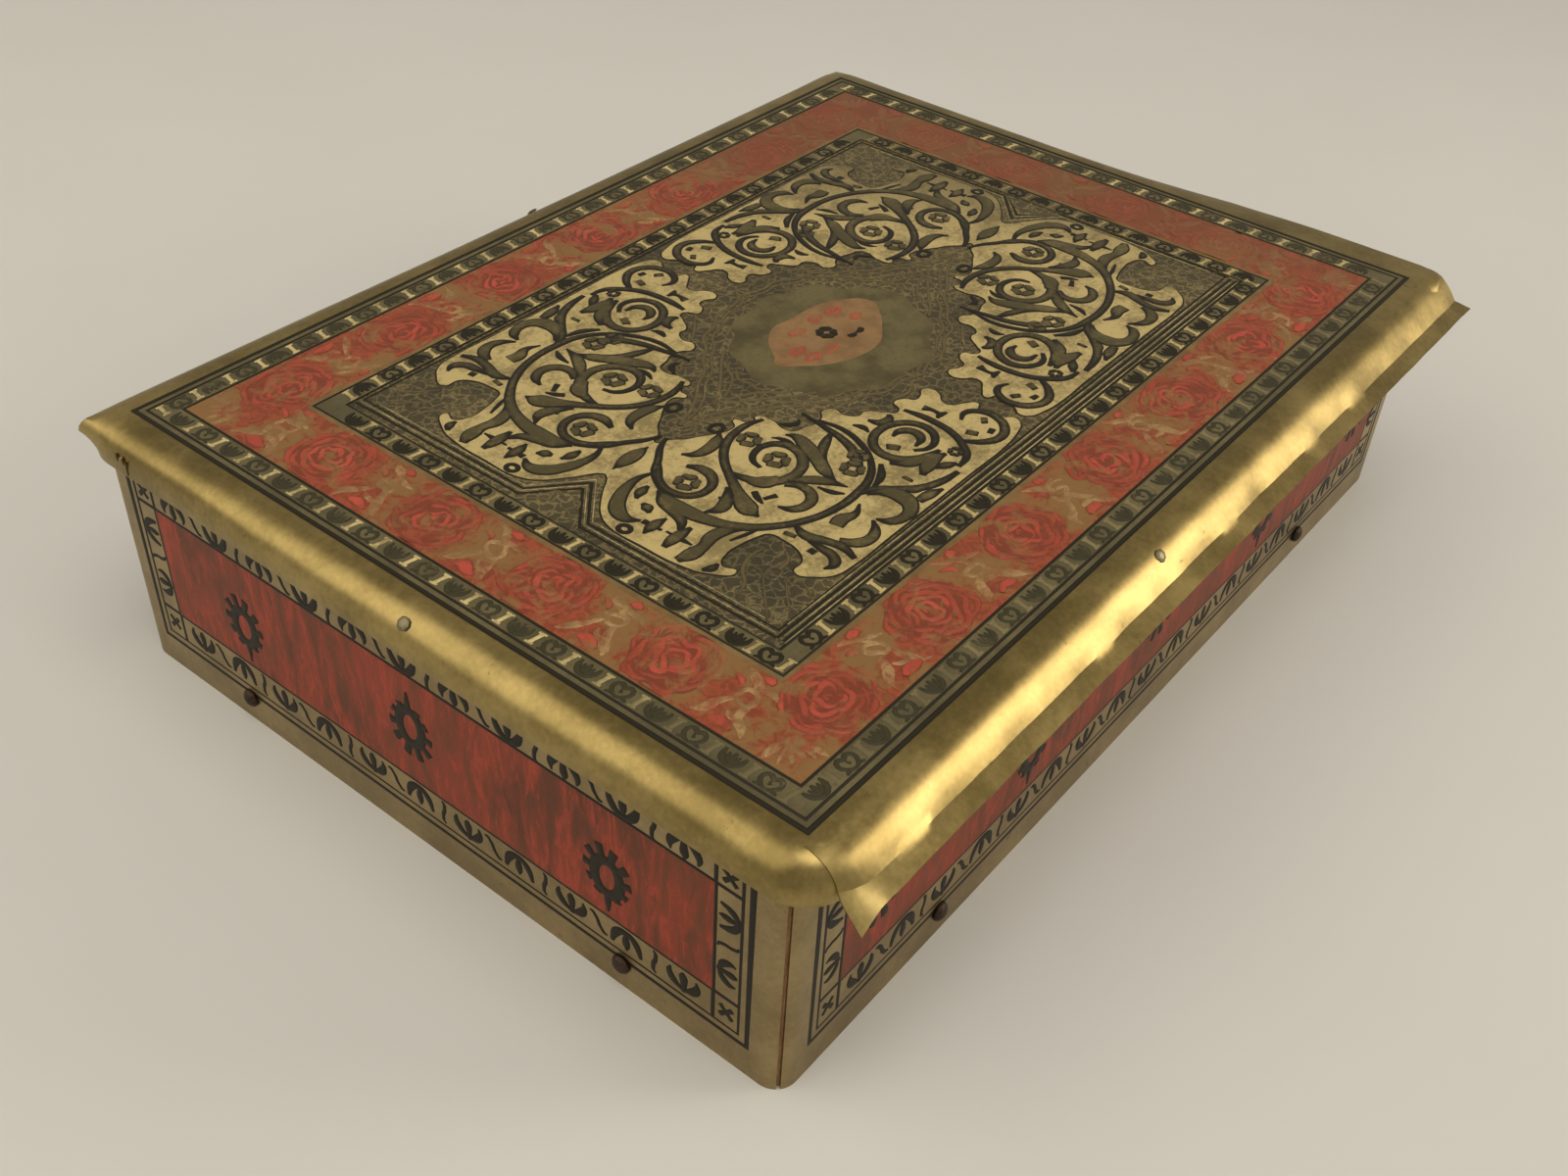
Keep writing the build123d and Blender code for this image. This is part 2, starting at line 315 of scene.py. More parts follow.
def pointing(direction):
    """The turn that points an object's own z that way."""
    return Vector(direction).to_track_quat("Z", "Y").to_matrix().to_4x4()


# %% [markdown]
# ## Light and floor
# The light is that of a small warm studio: an even room, a small lamp low at the front right that
# the rolled front edge mirrors as a bright band, a soft lamp at the back left and one overhead.
# The floor is plain and pale, and belongs to the stage, not to the box.

# %% The stage
def make_floor():
    floor = start("floor", bpy.ops.mesh.primitive_plane_add, size=6)
    look = Finish("pale_floor", roughness=0.8)
    cloud = look.noise(60, 4)
    look.set("Base Color", look.mix(cloud, (194, 193, 191), (201, 200, 199)))
    look.give(floor)


def make_lamp(name, direction, distance, size, watts, colour, spread=160):
    """A square lamp that looks at the box, with a beam that many degrees wide."""
    data = bpy.data.lights.new(name, "AREA")
    data.size, data.energy, data.color = size, watts, colour
    data.spread = math.radians(spread)
    lamp = bpy.data.objects.new(name, data)
    bpy.context.scene.collection.objects.link(lamp)
    towards = Vector(direction).normalized()
    lamp.matrix_world = Matrix.Translation(towards * distance) @ pointing(towards)


room_colour, room_strength = (1.0, 0.93, 0.78), 0.38


def make_world():
    world = bpy.data.worlds.new("room")
    bpy.context.scene.world = world
    world.use_nodes = True
    background = world.node_tree.nodes["Background"]
    background.inputs["Color"].default_value = (*room_colour, 1)
    background.inputs["Strength"].default_value = room_strength


make_floor()
make_world()
make_lamp("key_lamp", (0.62, -0.70, 0.36), distance=0.9, size=0.38, watts=0.42,
          colour=(1.0, 0.91, 0.77), spread=60)
make_lamp("side_lamp", (-0.64, 0.46, 0.70), distance=0.8, size=0.8, watts=2.3,
          colour=room_colour)
make_lamp("top_lamp", (-0.1, -0.3, 1.0), distance=0.9, size=0.6, watts=2.8,
          colour=(1.0, 0.95, 0.84))
bpy.context.scene.view_settings.view_transform = "Standard"
print("lamps:", [light.name for light in bpy.data.lights])

# %% [markdown]
# ## Sizes from the frame
# Every place on the brass comes from the frame's own pieces: the lid's edges from the shell, the
# walls' faces from the cladding. The print lies in low relief on the lid, so the flat of the lid
# is modelled a little below the top of the shell, and the highest ornament reaches that top.

# %% Sizes
sheet = 0.4 * mm
shell_low, shell_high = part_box("lid_shell")
board_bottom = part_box("lid_board")[0].z
clad_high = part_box("side_cladding")[1]

lid_half_x, lid_half_y = -shell_low.x, shell_high.y
lid_top = shell_high.z
lid_bottom = board_bottom - sheet
relief = 0.22 * mm
lid_flat = lid_top - relief
lid_corner, roll = 5.5 * mm, 4.0 * mm
side_x, side_y, rim = clad_high.x, clad_high.y, clad_high.z
leaf_low, leaf_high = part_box("hinge_right_lid_leaf")
hinge_gap = 0.5 * mm
hinge_from, hinge_to = leaf_low.x - hinge_gap, leaf_high.x + hinge_gap
print("lid", lid_half_x / mm, lid_half_y / mm, lid_bottom / mm, lid_top / mm)

# %% [markdown]
# ## Plain brass
# Old brass that was never polished is olive, not yellow: a thin even tarnish over a bright
# metal, cloudier in some places and rubbed through on the ridges. So one cloudy noise mixes two
# brasses, the same noise makes the dull ones rougher, and fine bumps give the wavering
# reflections of thin sheet.

# %% Brass finishes
def brass(name, dark, light, roughness, wave=0.25, wave_size=14):
    look = Finish(name, metallic=1.0)
    cloud = look.noise(9, 5, 0.6)
    grain = look.noise(0.7, 3, 0.6)
    spots = look.noise(2.2, 4, 0.65).step(0.66, 0.74)
    tone = look.mix((cloud + grain * 0.35).step(0.42, 0.95), dark, light)
    look.surface(
        look.mix(spots * 0.5, tone, (96, 78, 40)),
        cloud * 0.12 + grain * 0.06 + spots * 0.12 + (roughness - 0.09),
        look.noise(wave_size, 1) + grain * 0.012, wave)
    return look


rolled_brass = brass("rolled_brass", (130, 113, 69), (174, 153, 99), roughness=0.35, wave=0.3)
# A darker, greyer copy of the rolled brass: painted shade for the lip past its crease, the torn tab
# and the pins, which face away from the lamps.
shaded_brass = brass("shaded_brass", (110, 102, 78), (138, 129, 102),
                  roughness=0.42, wave=0.12, wave_size=8)
cladding_brass = brass("cladding_brass", (136, 118, 82), (172, 152, 110), roughness=0.42)
hinge_brass = brass("hinge_brass", (128, 108, 66), (164, 142, 92),
                    roughness=0.38, wave=0.02, wave_size=3)
print("rolled brass has", len(rolled_brass.tree.nodes), "shader nodes")

# %% [markdown]
# ## The pressed lid
# The real shell is one sheet pressed over a board: flat on top, rolled down at the edges and
# turned under. A cube with its upright edges and then its top rim bevelled has that form. Its
# long edges are cut across many times, so that the roll can waver as thin sheet does. The
# pressing wasn't even: the back corners are drawn out into beaks, and towards the front the right
# edge is hardly turned down. Solidify gives the sheet its thickness inwards.

# %% The lid's sheet
def ripple(point, size, seed=0.0):
    """A smooth waver between about -1 and 1, the same on each run."""
    return noise.noise(Vector((point.x, point.y, point.z + seed * mm)) / (size * mm))


def part_way(value, low, high):
    """0 below low, 1 above high and a straight rise between them."""
    return min(1.0, max(0.0, (value - low) / (high - low)))


def rise(value, low, high):
    """0 below low, 1 above high and a smooth rise between them."""
    share = part_way(value, low, high)
    return share * share * (3 - 2 * share)


def roll_depth(z):
    """0 on the flat of the lid and 1 at the lower rim of its roll."""
    return (lid_flat - z) / (lid_flat - lid_bottom)


def long_edge(ends):
    """A test: an edge that runs along a whole side."""
    return (ends[0] - ends[1]).length > 50 * mm


def make_lid_sheet():
    cover = rounded_block(
        "lid_cover", lid_half_x, lid_half_y, lid_bottom, lid_flat, lid_corner, 10)
    work(cover, "FACE", all_level(lid_bottom), delete_faces)
    work(cover, "EDGE", all_level(lid_flat), rounded(roll, 12))
    work(cover, "EDGE", long_edge, lambda: bpy.ops.mesh.subdivide(number_cuts=56))
    return cover


def turn_under(cover):
    """Draws the lower edge in under the board, and cuts the return away at the hinges."""
    inwards = 4.1 * mm
    shrink = (1 - inwards / lid_half_x, 1 - inwards / lid_half_y, 1)
    work(cover, "EDGE", all_level(lid_bottom), bpy.ops.mesh.extrude_region_move,
         lambda: bpy.ops.transform.resize(value=shrink, center_override=(0, 0, 0)))

    def at_a_hinge(corners):
        near = [hinge_from < abs(c.x) < hinge_to and c.y > 0 for c in corners]
        return any(near) and all_level(lid_bottom)(corners)

    work(cover, "FACE", at_a_hinge, delete_faces)


def waver(cover, depth):
    """Moves the rolled edge in and out a little, and leaves the flat alone."""
    for vertex in cover.data.vertices:
        below = part_way(lid_flat - vertex.co.z, 0, 2 * mm)
        out = Vector((vertex.co.x / lid_half_x, vertex.co.y / lid_half_y, 0))
        vertex.co -= out * depth * below * (0.5 + 0.5 * ripple(vertex.co, 11))


def draw_out(cover, side, sharp, lift, bow):
    """Draws the roll at a back corner out into a beak, which leaves its lower rim alone.

    The corner is made that sharp and lifted, and both sides that meet there are bowed up.
    """
    for vertex in cover.data.vertices:
        x, y, z = side * vertex.co.x, vertex.co.y, vertex.co.z
        depth = roll_depth(z)
        out_x, out_y = x + lid_corner - lid_half_x, y + lid_corner - lid_half_y
        if out_x > 0 and out_y > 0:
            square = math.hypot(out_x, out_y) / max(out_x, out_y) - 1
            upper = rise(depth, 0, 0.3) * (1 - rise(depth, 0.62, 1))
            vertex.co.x += side * out_x * sharp * square * upper
            vertex.co.y += out_y * sharp * square * upper
        away = max(lid_half_x - x, lid_half_y - y) / mm
        at_corner, at_sides = 1 - rise(away, 6, 14), 1 - rise(away, 10, 60)
        vertex.co.z += (lift * at_corner + bow * at_sides) * math.sin(math.pi * depth)


def square_right(cover, height, push):
    """Squares the roll of the right side towards the front, where it is hardly turned down."""
    for vertex in cover.data.vertices:
        x, y, z = vertex.co
        depth = roll_depth(z)
        at_side = rise((x - lid_half_x) / mm, -6, -2.5)
        near_front = 1 - rise((y + lid_half_y) / mm, 15, 60)
        upper = rise(depth, 0, 0.25) * (1 - rise(depth, 0.3, 0.8))
        vertex.co.x = max(x, min(x + push * at_side * near_front * upper, lid_half_x))
        vertex.co.z += height * at_side * near_front * math.sin(math.pi * depth)


lid_cover = make_lid_sheet()
turn_under(lid_cover)
waver(lid_cover, 0.25 * mm)
draw_out(lid_cover, -1, sharp=1.0, lift=0.05 * mm, bow=0.5 * mm)
draw_out(lid_cover, 1, sharp=0.7, lift=0.2 * mm, bow=0.2 * mm)
square_right(lid_cover, height=1.3 * mm, push=2 * mm)
finish_with(lid_cover, "SOLIDIFY", thickness=sheet, offset=-1, use_even_offset=True)
smooth(lid_cover, 40)
rolled_brass.give(lid_cover)
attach(lid_cover, "lid")
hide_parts("lid_shell")
print("lid cover", len(lid_cover.data.polygons), "faces")

# %% [markdown]
# ## The thumb lip
# Along the front the sheet leaves the roll at an uneven crease and juts out as a narrow lip. Its
# ends are cut at a slant, the left one lies flush with the roll, and its tip has been knocked
# down. A grid takes the shape of the lip row by row. Near the back of the left edge a small torn
# tab is bent up.

# %% The lip and the torn tab
lip_profile = [
    (-49.6, 33.4), (-50.5, 33.26), (-51.35, 32.92), (-52.1, 32.36), (-52.8, 31.71), (-53.45, 30.98),
    (-54.05, 30.22), (-54.65, 29.96), (-55.4, 29.63), (-56.15, 29.28),
]
crease_row, crease_angle = 6, math.radians(76)
crease_shares = {0: 1.0, 1: 0.5, 2: 0.2}
folded_from, folded_to = -67.6, -64.6
lip_left, lip_right = (-67.5, -68.1), (70.9, 72.15)
knocked_from, knocked_slope = -65.2, 0.6
tab_middle, tab_half, tab_foot, tab_height = 44.6, 1.2, 0.3, 1.1


def wobble(x, row, size):
    """The waver of a row of the lip, the same on each run."""
    return ripple(Vector((x, row, 0)) * mm, size)


def make_lip():
    last = len(lip_profile) - 1
    lip = start("lid_lip", bpy.ops.mesh.primitive_grid_add,
                x_subdivisions=110, y_subdivisions=last, size=2)
    lip_rows = [round((1 - vertex.co.y) / 2 * last) for vertex in lip.data.vertices]
    for vertex, row in zip(lip.data.vertices, lip_rows):
        y, z = lip_profile[row]
        past = max(0.0, (row - crease_row) / (last - crease_row))
        left = lip_left[0] + (lip_left[1] - lip_left[0]) * past
        right = lip_right[0] + (lip_right[1] - lip_right[0]) * past
        x = left + (right - left) * (vertex.co.x + 1) / 2
        arc = min(1, row / crease_row) * crease_angle
        flush = (1 - part_way(x, folded_from, folded_to)) * (1 - past)
        round_corner = max(0, lid_corner - lid_half_x - x * mm)
        recess = lid_corner - math.sqrt(lid_corner ** 2 - round_corner ** 2)
        y += flush * ((recess + roll - lid_half_y - roll * math.sin(arc)) / mm - y)
        z += flush * ((lid_flat - roll + roll * math.cos(arc)) / mm - z)
        crease = crease_shares.get(abs(row - crease_row), 0.0) * (1 - flush)
        crease *= wobble(x, 0, 7) + 0.5 * wobble(x, 9, 2.6)
        y -= 0.22 * crease
        z += 0.2 * crease - 0.1 * past * wobble(x, 30, 4)
        if row == last:
            y += 0.1 * (1 + wobble(x, 50, 5))
            z += 0.06
        z -= knocked_slope * max(0.0, knocked_from - x) * past
        vertex.co = Vector((x, y, z)) * mm
    # Faces past the crease take the second slot, the darker brass: painted shade on the flap.
    for face in lip.data.polygons:
        row = sum(lip_rows[i] for i in face.vertices) / 4
        face.material_index = 1 if row > crease_row else 0
    finish_with(lip, "SOLIDIFY", thickness=0.3 * mm, offset=-1)
    return lip


def make_torn_tab():
    tab = start("lid_torn_tab", bpy.ops.mesh.primitive_grid_add,
                x_subdivisions=14, y_subdivisions=2, size=2)
    for vertex in tab.data.vertices:
        along, up = vertex.co.x, (vertex.co.y + 1) / 2
        ragged = abs(math.sin(3.4 * along + 0.6))
        height = tab_foot + up * (tab_height + ragged)
        vertex.co = (-lid_half_x + 0.02 * mm, (tab_middle - tab_half * along) * mm,
                     lid_bottom + height * mm)
    # The tab takes the darker brass too: painted shade.
    for face in tab.data.polygons:
        face.material_index = 1
    finish_with(tab, "SOLIDIFY", thickness=0.25 * mm, offset=-1)
    return tab


for edge_piece in (make_lip(), make_torn_tab()):
    smooth(edge_piece, 20)
    rolled_brass.give(edge_piece)
    edge_piece.data.materials.append(shaded_brass.material)
    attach(edge_piece, "lid")
    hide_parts("lid_shell")
    print(edge_piece.name, len(edge_piece.data.polygons), "faces")

# %% [markdown]
# ## Drawing in relief
# The ornament is stamped into the sheet, so it has a height that the light finds. Each drawing
# is made flat, in millimetres, and only then laid on its face of the box. A line is a curve whose
# points carry a half width: a round bevel turns it into a tapering ridge, which is then pressed
# flat. A field is a filled outline with a bevelled edge. Both keep their height as an attribute,
# so that a finish can tell a rubbed top from an inky hollow.

# %% Ridges and plates
def smooth_spline(curve, points, closed):
    """A curve that passes smoothly through the given points."""
    spline = curve.splines.new("BEZIER")
    spline.bezier_points.add(len(points) - 1)
    for knot, point in zip(spline.bezier_points, points):
        knot.co = (point[0], point[1], 0)
        knot.handle_left_type = knot.handle_right_type = "AUTO"
    spline.use_cyclic_u = closed
    return spline


def drawn(name, curve_settings):
    """An empty curve object to draw in."""
    bpy.ops.object.select_all(action="DESELECT")
    bpy.ops.curve.primitive_bezier_curve_add()
    piece = bpy.context.object
    piece.name = piece.data.name = name
    piece.data.splines.clear()
    for key, value in curve_settings.items():
        setattr(piece.data, key, value)
    return piece


def as_mesh(piece):
    pick(piece)
    bpy.ops.object.convert(target="MESH")
    return bpy.context.object


def pressed(piece, top, fullness):
    """The same mesh with its rounded lines pressed down to that height."""
    for vertex in piece.data.vertices:
        vertex.co.z = top * math.tanh(fullness * vertex.co.z / top)
    return piece


def raised(piece, base=0.0):
    """The same mesh set on a height, which it remembers as its relief."""
    mesh = piece.data
    for vertex in mesh.vertices:
        vertex.co.z += base
    relief_map = mesh.attributes.new("relief", "FLOAT", "POINT")
    relief_map.data.foreach_set("value", [v.co.z for v in mesh.vertices])
    return piece


def ridges(name, lines, top, base=0.0, round_steps=2, steps=4, fullness=0.45):
    """Ridges along lines of (x, y, half width). A line that ends where it starts is closed."""
    piece = drawn(name, {"dimensions": "3D", "bevel_depth": 1.0, "bevel_resolution": round_steps,
                         "use_fill_caps": True, "twist_mode": "Z_UP", "resolution_u": steps})
    for line in lines:
        closed = len(line) > 3 and line[0][:2] == line[-1][:2]
        points = line[:-1] if closed else line
        spline = smooth_spline(piece.data, points, closed)
        spline.radius_interpolation = "CARDINAL"
        for knot, point in zip(spline.bezier_points, points):
            knot.radius = point[2]
    return raised(pressed(as_mesh(piece), top, fullness), base)


def ruled(name, lines, top, base=0.0):
    """Straight bars with sharp corners, from lines of (half width, corner, corner, ...)."""
    pieces = []
    for half_width, *corners in lines:
        bar = drawn(name, {"dimensions": "3D", "bevel_depth": half_width, "bevel_resolution": 0})
        closed = corners[0] == corners[-1]
        corners = corners[:-1] if closed else corners
        spline = bar.data.splines.new("POLY")
        spline.points.add(len(corners) - 1)
        for knot, (x, y) in zip(spline.points, corners):
            knot.co = (x, y, 0, 1)
        spline.use_cyclic_u = closed
        pieces.append(as_mesh(bar))
    return raised(pressed(joined(name, pieces), top, 0.6), base)


def plates(name, outlines, thick, edge=0.04, base=0.0, steps=6):
    """Flat fields with rounded edges. An outline inside another one is a hole."""
    piece = drawn(name, {"dimensions": "2D", "fill_mode": "BOTH", "extrude": thick / 2 - edge,
                         "bevel_depth": edge, "bevel_resolution": 1, "offset": -edge,
                         "resolution_u": steps})
    for outline in outlines:
        smooth_spline(piece.data, outline, True)
    return raised(as_mesh(piece), base + thick / 2)


def mirrored(piece, both=True):
    """A quarter turned over into the other quarters, or a half into the other half."""
    finish_with(piece, "MIRROR", use_axis=(True, both, False), use_mirror_merge=False)
    return piece


# %% Laying a drawing on a face
def facing(right, up, out, origin):
    """The turn and move that lays a flat drawing in millimetres on a face of the box."""
    turn = Matrix((Vector(right), Vector(up), Vector(out))).transposed().to_4x4()
    return Matrix.Translation(origin) @ turn @ Matrix.Scale(mm, 4)


field_middle = 17.5 * mm
lid_face = facing((1, 0, 0), (0, 1, 0), (0, 0, 1), (0, 0, lid_flat))
left_face = facing((0, -1, 0), (0, 0, 1), (-1, 0, 0), (-side_x, 0, field_middle))
right_face = facing((0, 1, 0), (0, 0, 1), (1, 0, 0), (side_x, 0, field_middle))
front_face = facing((1, 0, 0), (0, 0, 1), (0, -1, 0), (0, -side_y, field_middle))
back_face = facing((-1, 0, 0), (0, 0, 1), (0, 1, 0), (0, side_y, field_middle))


def laid(piece, face):
    """Lays a finished drawing on its face."""
    piece.matrix_world = face
    pick(piece)
    bpy.ops.object.transform_apply(location=True, rotation=True, scale=True)
    return piece


def dress(piece, body, look):
    """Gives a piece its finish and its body."""
    smooth(piece, 50)
    look.give(piece)
    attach(piece, body)
    print(piece.name, len(piece.data.polygons), "faces")


def on_lid(piece, look):
    """Lays a drawing on the lid and gives it its finish."""
    dress(laid(piece, lid_face), "lid", look)


# %% [markdown]
# ## Inks and tin
# The sheet was printed before it was pressed: a dark field, red bands and bare metal where the
# pale leaves are. Years of thumbs have taken the ink off many high places. Each finish therefore
# starts from the relief: dark in the hollows, its own colour on the slopes, and a little bare
# metal on top where a cloudy noise says so.

# %% Printed finishes
def painted_sheen_corner(look):
    """1 towards the back right corner of the lid, else 0: the painted sheen, where the print is
    made darker and browner.
    """
    x, y = look.across()
    return (x + y * 0.45).step(30 * mm, 54 * mm)


def dirty_end(look):
    """1 along the front and in patches elsewhere, where the bars are lost in dirt."""
    x, y = look.across()
    patches = look.noise(11, 2)
    corner = 1 - (x + y + patches * 0.02).step(-85 * mm, -72 * mm)
    front = (1 - y.step(-44.6 * mm, -44.4 * mm)) * 0.85
    lost = corner + (1 - corner) * front
    return lost + (1 - lost) * patches.step(0.56, 0.66) * 0.5


def printed(name, hollow, body, worn, low, high, wear, metal, roughness,
            shine=0.5, dull=0.0, lost=0.0):
    """A finish from the height of the relief, in millimetres, with cloudy wear on top.

    Three colours for the hollows, the slopes from low to high and the worn tops. Dull is how much
    of it turns to the hollow colour at the back right corner, a painted sheen, and lost how much
    the dirt covers.
    """
    look = Finish(name, shine, metallic=metal)
    height = look.attribute("relief")
    cloud = look.noise(5, 6, 0.68)
    grain = look.noise(0.55, 3, 0.7)
    slope = (height + (grain - 0.5) * 0.03).step(low, high)
    colour = look.mix(slope, hollow, body)
    rub = (cloud * 0.8 + grain * 0.4).step(0.96 - wear, 1.18 - wear) * slope
    colour = look.mix(rub, colour, worn)
    # Painted sheen: towards the back right corner the colour turns to the hollow colour.
    if dull:
        colour = look.mix(painted_sheen_corner(look) * dull, colour, hollow)
    if lost:
        colour = look.mix(dirty_end(look) * lost, colour, (90, 81, 53))
    look.surface(
        colour,
        grain * 0.15 + cloud * 0.1 + (roughness - 0.12),
        grain + look.noise(0.2, 2) * 0.4, 0.015)
    return look


faded_ink = printed("faded_ink", (40, 36, 22), (56, 51, 32), (104, 94, 62),
                    low=0.02, high=0.12, wear=0.35, metal=0.15, roughness=0.5, shine=0.3)
black_ink = printed("black_ink", (24, 20, 12), (38, 33, 20), (104, 92, 60),
                    low=0.0, high=0.12, wear=0.2, metal=0.1, roughness=0.5, shine=0.2)
pale_tin = printed("pale_tin", (66, 56, 32), (134, 118, 76), (190, 170, 116),
                   low=0.04, high=0.085, wear=0.5, metal=0.3, roughness=0.5, dull=0.6)
dull_tin = printed("dull_tin", (64, 57, 36), (128, 115, 78), (188, 170, 122),
                   low=0.04, high=0.085, wear=0.46, metal=0.3, roughness=0.5)
bar_tin = printed("bar_tin", (64, 57, 36), (146, 131, 88), (204, 185, 132),
                  low=0.035, high=0.075, wear=0.5, metal=0.3, roughness=0.5, lost=0.9)
dark_leaf = printed("dark_leaf", (26, 21, 11), (72, 64, 38), (102, 90, 56),
                    low=0.164, high=0.194, wear=0.4, metal=0.15, roughness=0.45, shine=0.35)
brass_ridge = printed("brass_ridge", (50, 42, 24), (98, 86, 54), (136, 120, 78),
                      low=0.03, high=0.09, wear=0.34, metal=0.4, roughness=0.42)


def leather_field():
    """The dark field: a net of fine raised veins, like morocco leather."""
    look = Finish("leather_field", metallic=0.2)
    warp = look.add("TexNoise", None, {
        "Vector": look.place, "Scale": 1 / (1.4 * mm), "Detail": 3.0}, "Color")
    bent = look.add("VectorMath", {"operation": "MULTIPLY_ADD"}, {
        0: warp, 1: (2 * mm, 2 * mm, 2 * mm), 2: look.place})
    veins = 1 - look.cell_edges(1.3, bent).step(0.0, 0.15)
    fine = look.noise(0.35, 3, 0.6)
    cloud = look.noise(12, 5, 0.6)
    ground = look.mix((cloud + fine * 0.3).step(0.45, 0.85), (52, 46, 27), (78, 69, 43))
    net = look.mix((cloud + fine * 0.4).step(0.45, 0.85), (82, 71, 42), (132, 115, 72))
    look.surface(
        look.mix(veins * 0.8, ground, net),
        fine * 0.2 + 0.36,
        veins + fine * 0.4, 0.09)
    return look


def border_ground():
    look = Finish("border_ground", metallic=0.3)
    cloud, fine = look.noise(7, 5, 0.62), look.noise(0.4, 3, 0.6)
    tone = look.mix(cloud.step(0.35, 0.68), (82, 74, 48), (106, 96, 64))
    look.surface(
        look.mix((fine + cloud * 0.2).step(0.62, 0.8) * 0.4, tone, (60, 55, 36)),
        fine * 0.2 + 0.38,
        fine, 0.015)
    return look


def red_wash(look):
    """Thin red over brass, brown where it has worn, and browner towards the back right corner as a
    painted sheen: the same clouds for each piece in the band.
    """
    cloud = look.noise(6, 5, 0.6, warp=0.6)
    streak = look.noise(1.4, 4, 0.6, warp=1.5)
    red = look.mix(streak.step(0.35, 0.65), (122, 60, 36), (152, 72, 48))
    bare = (cloud + streak * 0.25).step(0.55, 0.71)
    worn = look.mix(bare * 0.85, red, (128, 100, 58))
    # Painted sheen: towards the back right corner the red turns dark brown.
    return look.mix(painted_sheen_corner(look) * 0.7, worn, (110, 66, 41)), streak


def red_ground():
    look = Finish("red_ground", 0.35, metallic=0.2)
    colour, streak = red_wash(look)
    fine = look.noise(0.35, 3, 0.6)
    look.surface(
        colour,
        fine * 0.2 + 0.36,
        streak * 0.6 + fine * 0.5, 0.03)
    return look


def red_petal(name, dark, light):
    look = Finish(name, 0.35, metallic=0.12)
    height = look.attribute("relief")
    cloud, fine = look.noise(5, 4, 0.6, warp=0.5), look.noise(0.5, 3, 0.65)
    slope = (height + (fine - 0.5) * 0.08).step(0.08, 0.15)
    body = look.mix(cloud.step(0.35, 0.65), dark, light)
    colour = look.mix(slope, (116, 54, 34), body)
    rub = (fine * 0.6 + cloud * 0.5).step(0.64, 0.78) * slope
    colour = look.mix(rub * 0.45, colour, (182, 110, 78))
    # Painted sheen: towards the back right corner more of each petal fades into the wash.
    faded = (look.noise(3, 5, 0.7, warp=1.2) + painted_sheen_corner(look) * 0.25).step(0.46, 0.6)
    look.surface(
        look.mix(faded * 0.8, colour, red_wash(look)[0]),
        fine * 0.2 + 0.34,
        fine, 0.015)
    return look


def green_tin():
    look = Finish("green_tin", metallic=0.3)
    cloud, fine = look.noise(5, 6, 0.65), look.noise(0.6, 4, 0.7)
    tone = look.mix(cloud.step(0.35, 0.65), (74, 65, 38), (104, 94, 58))
    look.surface(
        look.mix((fine + cloud * 0.3).step(0.68, 0.9) * 0.5, tone, (62, 58, 40)),
        fine * 0.2 + 0.36,
        fine + cloud * 2, 0.02)
    return look


def worn_tan(name, dark, light, share):
    """Tan metal, with red left on that share of it."""
    look = Finish(name, metallic=0.25)
    cloud, fine = look.noise(3, 5, 0.6), look.noise(0.4, 3, 0.6)
    tone = look.mix(cloud.step(0.35, 0.65), dark, light)
    # Painted sheen: towards the back right corner more of the tan takes the red wash, which is
    # brown there.
    red_left = (look.noise(1.8, 5, 0.7, warp=1.2) + painted_sheen_corner(look) * 0.3).step(0.42, 0.58)
    look.surface(
        look.mix(red_left * share, tone, red_wash(look)[0]),
        fine * 0.2 + 0.38,
        fine, 0.02)
    return look


field, border, red_field = leather_field(), border_ground(), red_ground()
petal = red_petal("red_petal", (144, 62, 42), (164, 68, 50))
pink_petal = red_petal("pink_petal", (156, 64, 48), (178, 72, 58))
green = green_tin()
tan = worn_tan("branch_tan", (130, 100, 62), (164, 130, 86), 0.85)
edge_tan = worn_tan("edge_tan", (104, 84, 48), (128, 104, 62), 0.3)
medallion_tan = worn_tan("medallion_tan", (118, 90, 56), (142, 110, 72), 0.2)
print("finishes so far:", len(bpy.data.materials))

# %% [markdown]
# ## The borders of the lid
# From the edge inwards the lid has a thick and a thin black line, a band of small leaves, a
# black line, the red band with its roses and a tan inner edge, another line, another band of
# leaves, and the dark panel. Straight lines and bands are ruled as rectangles, so the same few
# sizes place them all.

# %% Lines and grounds of the lid
outer_line = (66.05, 48.15)
thin_line = (65.05, 47.15)
red_edge = (62.2, 44.4)
panel_edge = (52.1, 34.3)
panel_line = (49.4, 31.8)
tan_edge = (52.9, 35.1)


def rectangle(half_x, half_y):
    return [(-half_x, -half_y), (half_x, -half_y), (half_x, half_y), (-half_x, half_y)]


def everything(corners):
    """A test: all of it."""
    return True


def band(name, outer, inner, thick):
    """A flat band between two rectangles, or a whole field where inner is None."""
    piece = start(name, bpy.ops.mesh.primitive_plane_add, size=2)
    for vertex in piece.data.vertices:
        vertex.co = (vertex.co.x * outer[0], vertex.co.y * outer[1], 0)
    if inner:
        work(piece, "FACE", everything,
             lambda: bpy.ops.mesh.inset(thickness=outer[0] - inner[0]), delete_faces)
    work(piece, "FACE", everything, lambda: bpy.ops.mesh.extrude_region_move(
        TRANSFORM_OT_translate={"value": (0, 0, thick)}))
    return raised(piece)


ground, leaf_height, line_height, stem_height = 0.03, 0.08, 0.09, 0.12
on_lid(band("lid_leaf_border", outer_line, red_edge, ground), border)
on_lid(band("lid_red_band", red_edge, panel_edge, ground), red_field)
on_lid(band("lid_tan_strip", tan_edge, panel_edge, ground + 0.015), edge_tan)
on_lid(band("lid_panel_border", panel_edge, panel_line, ground), border)
on_lid(band("lid_panel", panel_line, None, ground), field)


